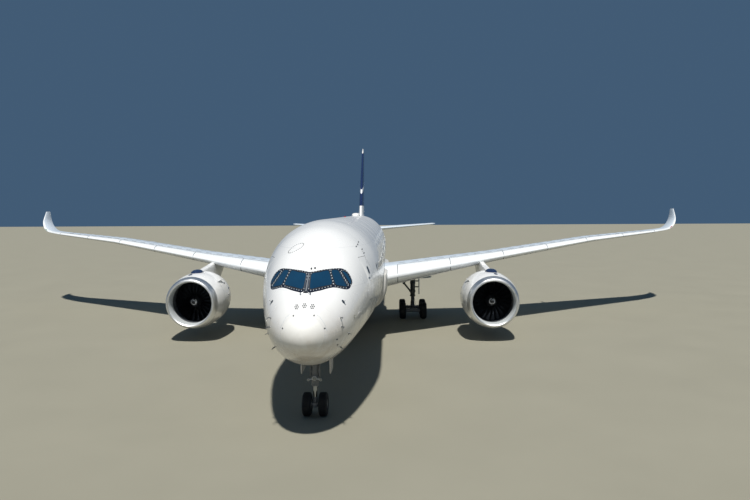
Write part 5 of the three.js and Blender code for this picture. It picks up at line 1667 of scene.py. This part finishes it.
def wheel_shape(radius, width, centre, outward):
    """One wheel: rim, dished web with its hub, the bolts round the web and the bosses of its windows."""
    bead, half = radius * BEAD_SHARE - 0.002, width / 2
    rim, web, hub = (np.array(shares) * (bead, half) for shares in (RIM, WEB, HUB))
    web = curve([*web, (0.012, half * 0.66)], 4)
    hub = curve([*hub, (0.01, half * 0.88)], 3)
    web, hub = [*web, *(web[::-1] - (0, half * 0.16))], [*hub, (0.01, half * 0.6), (bead * 0.3, half * 0.6)]
    points, faces = merged([
        *(wheel_turned(profile, 48) for profile in (rim, web, hub)),
        *studded(BOLT, 6, WHEEL_BOLTS, bead * 0.8, half * 0.26),
        *studded(BOSS, 12, WHEEL_WINDOWS, bead * 0.58, half * 0.235, math.pi / WHEEL_WINDOWS),
    ])
    if outward < 0:
        points, faces = points * (-1, 1, 1), [face[::-1] for face in faces]
    return points + centre, faces


def wheel_pair(name, centre, radius, width, track, axle, brakes=True):
    """Two tyres, two wheels and the axle between them, all on one body."""
    middles = [(side, sign, np.array(centre) + (sign * track, 0, 0)) for side, sign in SIDES]
    for side, _, middle in middles:
        piece(f"{name}_{side}_tread", tyre_shape(radius, width, middle), tyre_rubber, name,
              [f"{name}_tyre_{side}"], sharp=50)
    wheels = [wheel_shape(radius, width, middle, sign) for _, sign, middle in middles]
    wheels.append(tube([middle for _, _, middle in middles], axle, 24))
    piece(f"{name}_wheels", wheels, wheel_enamel, name, [f"{name}_rims"], sharp=40)
    if brakes:
        discs = [wheel_turned(BRAKE_DISC, 40, middle - (sign * (0.1 + DISC_PITCH * k), 0, 0))
                 for _, sign, middle in middles for k in range(DISCS)]
        piece(f"{name}_brakes", discs, brake_carbon, name)


# radius and width of each tyre, half the track, and the axle's radius
NOSE_STATION, NOSE_TYRE = 4.6, (0.525, 0.395, 0.36, 0.06)
MAIN_LATERAL, MAIN_STATION, AXLE_OFFSET, MAIN_TYRE = 5.3, 33.26, 1.02, (0.7, 0.53, 0.8675, 0.085)
wheel_pair("nose_wheels", (0, NOSE_STATION, NOSE_TYRE[0]), *NOSE_TYRE, brakes=False)
for side, sign in SIDES:
    for end, sense in (("front", -1), ("rear", 1)):
        centre = (sign * MAIN_LATERAL, MAIN_STATION + sense * AXLE_OFFSET, MAIN_TYRE[0])
        wheel_pair(f"main_wheels_{end}_{side}", centre, *MAIN_TYRE)
print("tyre triangles:", tally["nose_wheels_left_tread"])

# %% [markdown]
# The legs are forgings: a thick outer cylinder, a chromed piston that slides in it, braces that
# fold it up, and a pair of scissor links that keep the wheels straight. Each is built from bars,
# collars where two parts clamp, flat links with trimmed ends, and hoses on a smooth line.

# %% Parts of a leg
def bar(start, end, radius, end_radius=None, sides=24):
    """A round bar between two points."""
    return tube([start, end], [radius, end_radius or radius], sides)


def axle(half, aft, level, radius, sides=24):
    """A round bar across the aircraft, as wide on both sides of the leg."""
    return bar((-half, aft, level), (half, aft, level), radius, sides=sides)


def between(start, end, share):
    """The point at a share of the way between two points."""
    return np.asarray(start, float) + (np.asarray(end, float) - start) * share


def collar(start, end, share, width, radius, sides=24):
    """A ring clamped round a bar, at a share of its length."""
    middle, along = between(start, end, share), unit(np.subtract(end, start, dtype=float)) * width
    path = [middle + along * part for part in (-0.5, -0.38, 0.38, 0.5)]
    return tube(path, [radius * 0.93, radius, radius, radius * 0.93], sides)


def link(start, end, half_start, half_end, thick):
    """A flat tapered link between two pins, wider across the aircraft than it is thick."""
    across, along = np.array((1.0, 0, 0)), unit(np.subtract(end, start, dtype=float))
    depth = np.cross(along, across)
    rings = []
    for share, half in ((0, half_start), (0.12, half_start), (0.88, half_end), (1, half_end)):
        middle, trim = between(start, end, share), 0.6 if share in (0, 1) else 1
        rings.append([middle + across * half * a + depth * thick / 2 * b * trim
                      for a, b in ((1, 1), (0.92, 1.15), (-0.92, 1.15), (-1, 1),
                                   (-1, -1), (-0.92, -1.15), (0.92, -1.15), (1, -1))])
    return loft(rings)


def hoses(name, paths, offset):
    """Flexible hoses clipped along a leg."""
    shape = merged([tube(curve(points, 5), 0.012, 8) for points in paths])
    piece(f"{name}_hoses", shape, hose_rubber, at=offset)


def panel_door(low, high, corner=0.12):
    """A thin door panel with round corners, flat across the aircraft."""
    low, high = np.sort([low, high], axis=0)
    outline = np.array(rounded((low + high)[1:] / 2, (high - low)[1:], corner))
    return loft([spots(x, *outline.T) for x in (low[0], high[0])])


print("a link has", len(link((0, 0, 0), (0, 0, 1), 0.1, 0.1, 0.05)[0]), "points")

# %% [markdown]
# The nose leg's upper part is fixed. Its lower part turns to steer, with the links, the piston and
# a lug for the towing bar.

# %% Nose gear
# all places on the nose leg are given as side, aft of its axle, and height
LEG_PLACE, NOSE_HUB, LEG_COLLAR = (0, NOSE_STATION, 0), NOSE_TYRE[0], 1.6
leg_top, leg_foot = (0, 0, 3.52), (0, 0, LEG_COLLAR + 0.004)
nose_leg = [
    bar(leg_top, leg_foot, 0.13), collar(leg_top, leg_foot, 0.25, 0.3, 0.155),
    collar(leg_top, leg_foot, 0.55, 0.12, 0.15), collar(leg_top, leg_foot, 0.93, 0.16, 0.165),
    axle(0.59, 0, 3.1, 0.07), bar((0, 0, 2.0), (0, 1.2, 3.3), 0.06),
    link((0, 0.15, 2.16), (0, 1.1, 3.19), 0.09, 0.16, 0.06), axle(0.59, 1.2, 3.3, 0.05),
    collar((-0.2, 0, 2.0), (0.2, 0, 2.0), 0.5, 0.3, 0.075),
    *(bar((sign * 0.17, 0.05, 1.75), (sign * 0.17, 0.05, 2.15), 0.055) for _, sign in SIDES),
    *(bar((sign * 0.12, 0, 1.95), (sign * 0.45, 0, 3.1), 0.035) for _, sign in SIDES),
]
piece("nose_leg_forging", nose_leg, gear_enamel_painted_shade, stands_for=["nose_leg"], at=LEG_PLACE)
nose_lower = [
    bar((0, 0, LEG_COLLAR - 0.003), (0, 0, 1.36), 0.15), collar((0, 0, 1.6), (0, 0, 1.36), 0.75, 0.07, 0.17),
    axle(0.14, 0, NOSE_HUB, 0.11), bar((0, 0, 0.86), (0, 0, NOSE_HUB), 0.1, 0.12),
    link((0, 0.1, 1.45), (0, 0.42, 1.0), 0.1, 0.05, 0.05),
    link((0, 0.42, 1.0), (0, 0.06, 0.62), 0.05, 0.1, 0.05), axle(0.08, 0.42, 1.0, 0.028, 16),
]
piece("nose_steering_forging", nose_lower, gear_enamel_painted_shade, "nose_steering",
      ["nose_steering"], at=LEG_PLACE)
piston = bar((0, 0, 1.38), (0, 0, 0.84), 0.085, sides=40)
piece("nose_piston", piston, chrome_plate_painted_shade, "nose_steering", at=LEG_PLACE)
TOW_LUG, TOW_LUG_HALF = 0.22, 0.08
tow_shape = softened([(0, -0.1), (-TOW_LUG, -0.1), (-TOW_LUG, 0.1), (0, 0.1)], 0.03)
tow_lug = loft([spots(x, *tow_shape.T) for x in (-TOW_LUG_HALF, TOW_LUG_HALF)])
piece("tow_lug", tow_lug, gear_enamel_painted_shade, "nose_steering", at=(0, NOSE_STATION, NOSE_HUB))
print("nose leg triangles:", tally["nose_leg_forging"])

# %% [markdown]
# Two landing lamps and a taxi lamp look ahead from a bar across the leg, and three hoses run down
# it, clipped close to the cylinder.

# %% Lamps and hoses of the nose gear
def lamp(x, level, radius, parts):
    """A part of a lamp that points ahead, from places along it and radii, as shares of the lamp's."""
    return tube([(x, LAMP_FACE - radius * ahead, level) for ahead, _ in parts],
                [radius * share for _, share in parts], 24)


# side, level and radius of each lamp; the middle one is the taxi lamp
LAMPS = ((0, 1.75, 0.1), (0.27, 1.69, 0.06), (-0.27, 1.69, 0.06))
LAMP_FACE, LAMP_ARM = -0.32, -0.16
bowls = [lamp(*row, ((-0.9, 0.5), (-0.3, 0.95), (0, 1))) for row in LAMPS]
arm = curve([(x, LAMP_ARM, level) for x, level in ((-0.27, 1.68), (0, 1.7), (0.27, 1.68))], 5)
bowls.append(tube(arm, 0.045, 12))
lenses = [lamp(*row, ((0, 0.88), (0.1, 0.8), (0.2, 0.3))) for row in LAMPS]
piece("nose_lamp_bowls", bowls, bare_aluminium, at=LEG_PLACE)
piece("nose_lamp_lenses", lenses, lamp_glass, at=LEG_PLACE)
hoses("nose_leg", (
    [(0.1, -0.12, 3.3), (0.15, -0.1, 2.6), (0.13, -0.13, 2.0), (0.2, -0.02, 1.72)],
    [(-0.1, -0.12, 3.3), (-0.16, -0.08, 2.5), (-0.19, 0, 1.75)],
    [(0.05, 0.14, 3.2), (0.09, 0.13, 2.4), (0.1, 0.15, 1.72)],
), LEG_PLACE)
print("nose gear lamps:", len(LAMPS))

# %% [markdown]
# The bay's doors hang open on both sides of the leg, each on two arms and a rod. Frames stiffen
# the walls and the roof of the bay.

# %% Nose gear doors and bay
for side, sign in SIDES:
    x, name = sign * (BAY_HALF + 0.02), f"nose_gear_door_{side}"
    door = panel_door((x, NOSE_STATION + 0.25, 1.8), (x + sign * 0.05, BAY_END - 0.15, 2.72))
    piece(f"{name}_panel", door, fuselage_white, stands_for=[name])
    arms = [bar((x, station, 2.66), (x - sign * 0.06, station, 2.9), 0.03, sides=12)
            for station in (NOSE_STATION + 0.5, BAY_END - 0.4)]
    rod = NOSE_STATION + 0.6
    arms.append(bar((x, rod, 2.3), (sign * 0.35, rod, 3.1), 0.018, sides=12))
    piece(f"{name}_arms", arms, gear_enamel_painted_shade)

# half the width of the bay's side frames and of its roof frames, where they stand, and their levels
BAY_FRAMES = ((0.05, BAY_HALF, 2.75, BAY_TOP), (0.05, -BAY_HALF, 2.75, BAY_TOP),
              (BAY_HALF, 0, BAY_TOP - 0.08, BAY_TOP + 0.02))
frame_stations = np.linspace(BAY_START + 0.25, BAY_END - 0.25, 6)
bay_frames = [block((x - half, s - 0.02, low), (x + half, s + 0.02, high))
              for half, x, low, high in BAY_FRAMES for s in frame_stations]
piece("nose_bay_frames", bay_frames, bay_primer_painted_shade)
print("nose bay frames:", len(bay_frames))

# %% [markdown]
# A main leg stands on a bogie: a beam with an axle across each end. The side stay and the drag
# brace lock it, a door follows it on the outside, and brake rods run along the beam.

# %% Main gear
def main_leg(name, sign):
    """One main leg with its bogie beam, stays, links, hoses and door, about the middle of its bogie."""
    place, hub = (sign * MAIN_LATERAL, MAIN_STATION, 0), MAIN_TYRE[0]
    pivot, top = (0, 0, hub + 0.06), (0, -0.51, 4.3)
    seal = between(pivot, top, 0.3)
    forging = [
        bar(seal, top, 0.2, 0.22, 32), collar(pivot, top, 0.31, 0.12, 0.235, 32),
        collar(pivot, top, 0.42, 0.2, 0.24, 32), collar(pivot, top, 0.62, 0.14, 0.235, 32),
        bar((0, -AXLE_OFFSET, hub), (0, AXLE_OFFSET, hub), 0.15),
        collar((0, -1, hub), (0, 1, hub), 0.5, 0.5, 0.19), axle(0.28, 0, pivot[2], 0.19),
        bar(pivot, between(pivot, top, 0.1), 0.2, 0.17),
    ]
    for aft in (-AXLE_OFFSET, AXLE_OFFSET):
        forging += [axle(0.56, aft, hub, 0.14),
                    *(collar((-1, aft, hub), (1, aft, hub), place, 0.07, 0.19) for place in (0.28, 0.72)),
                    bar((sign * 0.3, aft, hub - 0.2), (sign * 0.3, 0, hub - 0.22), 0.022, sides=12)]
    stay = ((0, -0.25, 2.0), (-sign * 1.5, -0.71, 3.9))
    brace = ((0, -0.3, 1.9), (sign * 0.1, -2.31, 4.0))
    for ends, radius in ((stay, 0.075), (brace, 0.068)):
        forging += [bar(*ends, radius), collar(*ends, 0.5, 0.16, radius + 0.035),
                    collar(*ends, 0.12, 0.2, radius + 0.02)]
    knee = (0, 0.55, 1.0)
    forging += [
        bar(between(*stay, 0.5), between(pivot, top, 0.8), 0.035, sides=16),
        link((0, 0.1, 1.22), knee, 0.16, 0.07, 0.07), link(knee, (0, 0.08, 2.2), 0.07, 0.16, 0.07),
        axle(0.1, *knee[1:], 0.04, 16), bar((0, -0.9, hub + 0.16), (0, -0.3, 1.7), 0.05, sides=16),
        *(bar((0, -0.2, level), (sign * 0.53, -0.2, level), 0.05) for level in (2.6, 3.1)),
    ]
    piece(f"{name}_forging", forging, gear_enamel_painted_shade, stands_for=[name], at=place)
    piston = bar(between(pivot, top, 0.09), seal, 0.15, sides=48)
    piece(f"{name}_piston", piston, chrome_plate_painted_shade, at=place)
    clips = ((0.9, -0.22), (0.55, -0.25), (0.28, -0.3))
    hoses(name, [[*(between(pivot, top, share) + (x, aft, 0) for share, aft in clips),
                  (x * 2, -0.5, 1.05), (x * 3, 0.1 - AXLE_OFFSET, hub + 0.15)]
                 for x in (-0.12, -0.04, 0.05, 0.13)], place)
    door = panel_door((sign * 0.5, -0.75, 2.0), (sign * 0.56, 0.3, 3.75), 0.16)
    piece(f"{name}_door", door, wing_grey, at=place)


for side, sign in SIDES:
    main_leg(f"main_leg_{side}", sign)
print("main leg triangles:", tally["main_leg_left_forging"])

# %% [markdown]
# Blade aerials stand along the crown and the belly, red beacons flash above and below, and a drain
# mast lets waste water fall clear. A low dome covers the satellite aerial on the crown. All are
# small parts, set by their station on the middle line.

# %% Aerials, the crown dome and beacons
# station, 1 over the crown or -1 under the belly, height, chord
BLADES = (
    (48.6, 1, 0.3, 0.38), (9.8, -1, 0.3, 0.38), (16.0, -1, 0.3, 0.38),
    (17.8, -1, 0.2, 0.16), (42.6, -1, 0.3, 0.38),
)
BLADE_HALF, BLADE_SWEEP = 0.03, 0.16


def blade_aerial(station, side, height, chord):
    """A thin swept blade on the skin, with a round leading edge."""
    skin = section(np.array(station))[1 if side > 0 else 2]
    stages = ((-0.05, 1, 0, 1), (height * 0.9, 0.6, 0.9, 0.6), (height, 0.4, 1.1, 0.3))
    rings = [[(across * 2 * BLADE_HALF * thick, station + lean * BLADE_SWEEP + along * chord * length,
               skin + side * rise) for along, across in BLADE_SECTION]
             for rise, length, lean, thick in stages]
    send = from_above if side > 0 else from_below
    return merged([loft(rings), plate(rounded((0, station), (0.16, chord * 1.3), 0.07), send, 0.012, 0.02)])


def arch(half, station, foot, height, power, middle=0.0):
    """An upright arch of points across the aircraft; a low power squares its shoulders."""
    angles = np.linspace(0, np.pi, 15)
    return spots(middle + half * np.cos(angles), station, foot + height * np.sin(angles) ** power)


piece("blade_aerials", [blade_aerial(*row) for row in BLADES], radome_white)
# station, half width and height of the dome that covers the satellite aerial on the crown
DOME = curve([
    (41.7, 0.1, 0.02), (42.2, 0.34, 0.22), (43.0, 0.4, 0.27), (43.9, 0.34, 0.22), (44.9, 0.08, 0.02),
], 5)
DOME_SUNK, DOME_FOOT = 0.06, 0.2
dome = []
for station, half, height in DOME:
    crown = section(np.array(station))[1] - DOME_SUNK
    arc = arch(half, station, crown, height + DOME_SUNK, 0.5)
    dome.append(np.vstack([(half, station, crown - DOME_FOOT), arc, (-half, station, crown - DOME_FOOT)]))
piece("crown_dome", loft(dome), radome_white)

# station, level and heights over it, and radii of the two beacons
BEACONS = ((26.0, section(np.array(26.0))[1], (-0.03, 0.03, 0.06), (0.08, 0.065, 0.02)),
           (29.0, BELLY[:, 3].min(), (0.03, -0.07, -0.12), (0.1, 0.085, 0.03)))
beacons = [tube([(0, station, level + rise) for rise in rises], radii, 20)
           for station, level, rises, radii in BEACONS]
piece("beacons", beacons, beacon_red)
print("blades:", len(BLADES), "beacons:", len(beacons))

# %% [markdown]
# Behind the tail cone's rim opens the outlet of the auxiliary engine. Thin lines on the belly
# fairing show the main gear's doors, which are shut.

# %% Tail outlet and gear door lines
outer_rim, inner_rim = (fuselage_rings((TAIL_END,), inset)[0] for inset in (0.02, 0.06))
back, front = (0, 0.03, 0), (0, -0.02, 0)
rim = loft([outer_rim + front, outer_rim + back, inner_rim + back, inner_rim + front], "joined")
piece("tail_outlet_rim", rim, nozzle_alloy)
piece("tail_outlet_duct", loft([inner_rim + front, inner_rim + (0, 0.01, 0)]), brake_carbon)

# middle and size of a main gear door from below, and the distance between points on its edge
GEAR_DOOR, GEAR_DOOR_SIZE, LOOK = (1.295, 33.1), (2.31, 4.6), 0.1


def under_belly(x, station):
    """The height of the fairing's underside at a side and a station."""
    arc = belly_ring(row_at(BELLY, station))[:BELLY_ARC][::-1]
    return float(np.interp(x, arc[:, 0], arc[:, 2]))


edges = []
for side, sign in SIDES:
    outline = evenly(rounded((sign * GEAR_DOOR[0], GEAR_DOOR[1]), GEAR_DOOR_SIZE, 0.15), LOOK)
    line = np.array([(x, s, under_belly(x, s)) for x, s in outline])
    facing = np.array([(under_belly(x + LOOK, s) - under_belly(x - LOOK, s),
                        under_belly(x, s + LOOK) - under_belly(x, s - LOOK), -2 * LOOK) for x, s in outline])
    edges.append(ribbon(line, unit(facing), 0.03, 0.004, 0.03, "joined"))
piece("main_gear_door_edges", edges, marking_grey)
print("points round the last gear door:", len(line))

# %% [markdown]
# Air that has cooled the engine's bleed leaves through a dark scoop at the pylon's foot, and a
# small vent lies ahead of it. The scoop is a low dome with a round nose. The vent, and the drains
# and latches on the inboard side, are oval patches that bend with the cowl.

# %% Cowl outlets
# station, half width and height over the cowl's top
SCOOP = curve([
    (23.15, 0.04, 0.01), (23.3, 0.26, 0.1), (23.6, 0.4, 0.18), (24.1, 0.42, 0.2), (24.5, 0.3, 0.1),
], 4)
SCOOP_SHIFT, SCOOP_FOOT = 0.12, 0.12  # toward the outboard side, and how deep it stands in the cowl
# middle angle from the top in degrees toward the outboard side, half angle, start and end station
PATCHES = ((8, 4, 22.45, 22.88), (-56, 1.4, 24.5, 24.8), (-70, 2, 25.1, 25.5), (-82, 1.4, 24.6, 24.85))
PATCH_RISE = 0.02


def cowl_patch(sign, turn, half_turn, start, end):
    """A thin oval patch on a cowl."""
    rings = []
    for t in np.cos(np.linspace(np.pi, 0, 9)):
        station = (start + end) / 2 + t * (end - start) / 2
        reach = half_turn * max(math.sqrt(1 - t * t), 0.04)
        angles = sign * np.radians(turn + np.linspace(-reach, reach, 7))
        radius = cowl_radius(station) + np.repeat((PATCH_RISE, -PATCH_RISE), 7)
        angles = [*angles, *angles[::-1]]
        rings.append(spots(radius * np.sin(angles), station, radius * np.cos(angles)))
    return loft(rings)


for side, sign, offset in ENGINES:
    scoop = loft([arch(half, station, cowl_radius(station) - SCOOP_FOOT, height + SCOOP_FOOT, 0.7,
                       sign * SCOOP_SHIFT) for station, half, height in SCOOP])
    outlets = merged([scoop, *(cowl_patch(sign, *row) for row in PATCHES)])
    piece(f"nacelle_{side}_outlets", outlets, trim_navy, at=offset)
print("scoop rings:", len(SCOOP), "patches:", len(PATCHES))

# %% [markdown]
# The last cell counts the dressed model's pieces and triangles.

# %% Sizes
total = sum(tally.values())
print("pieces:", len(tally), "triangles:", total, "largest:", max(tally.values()))
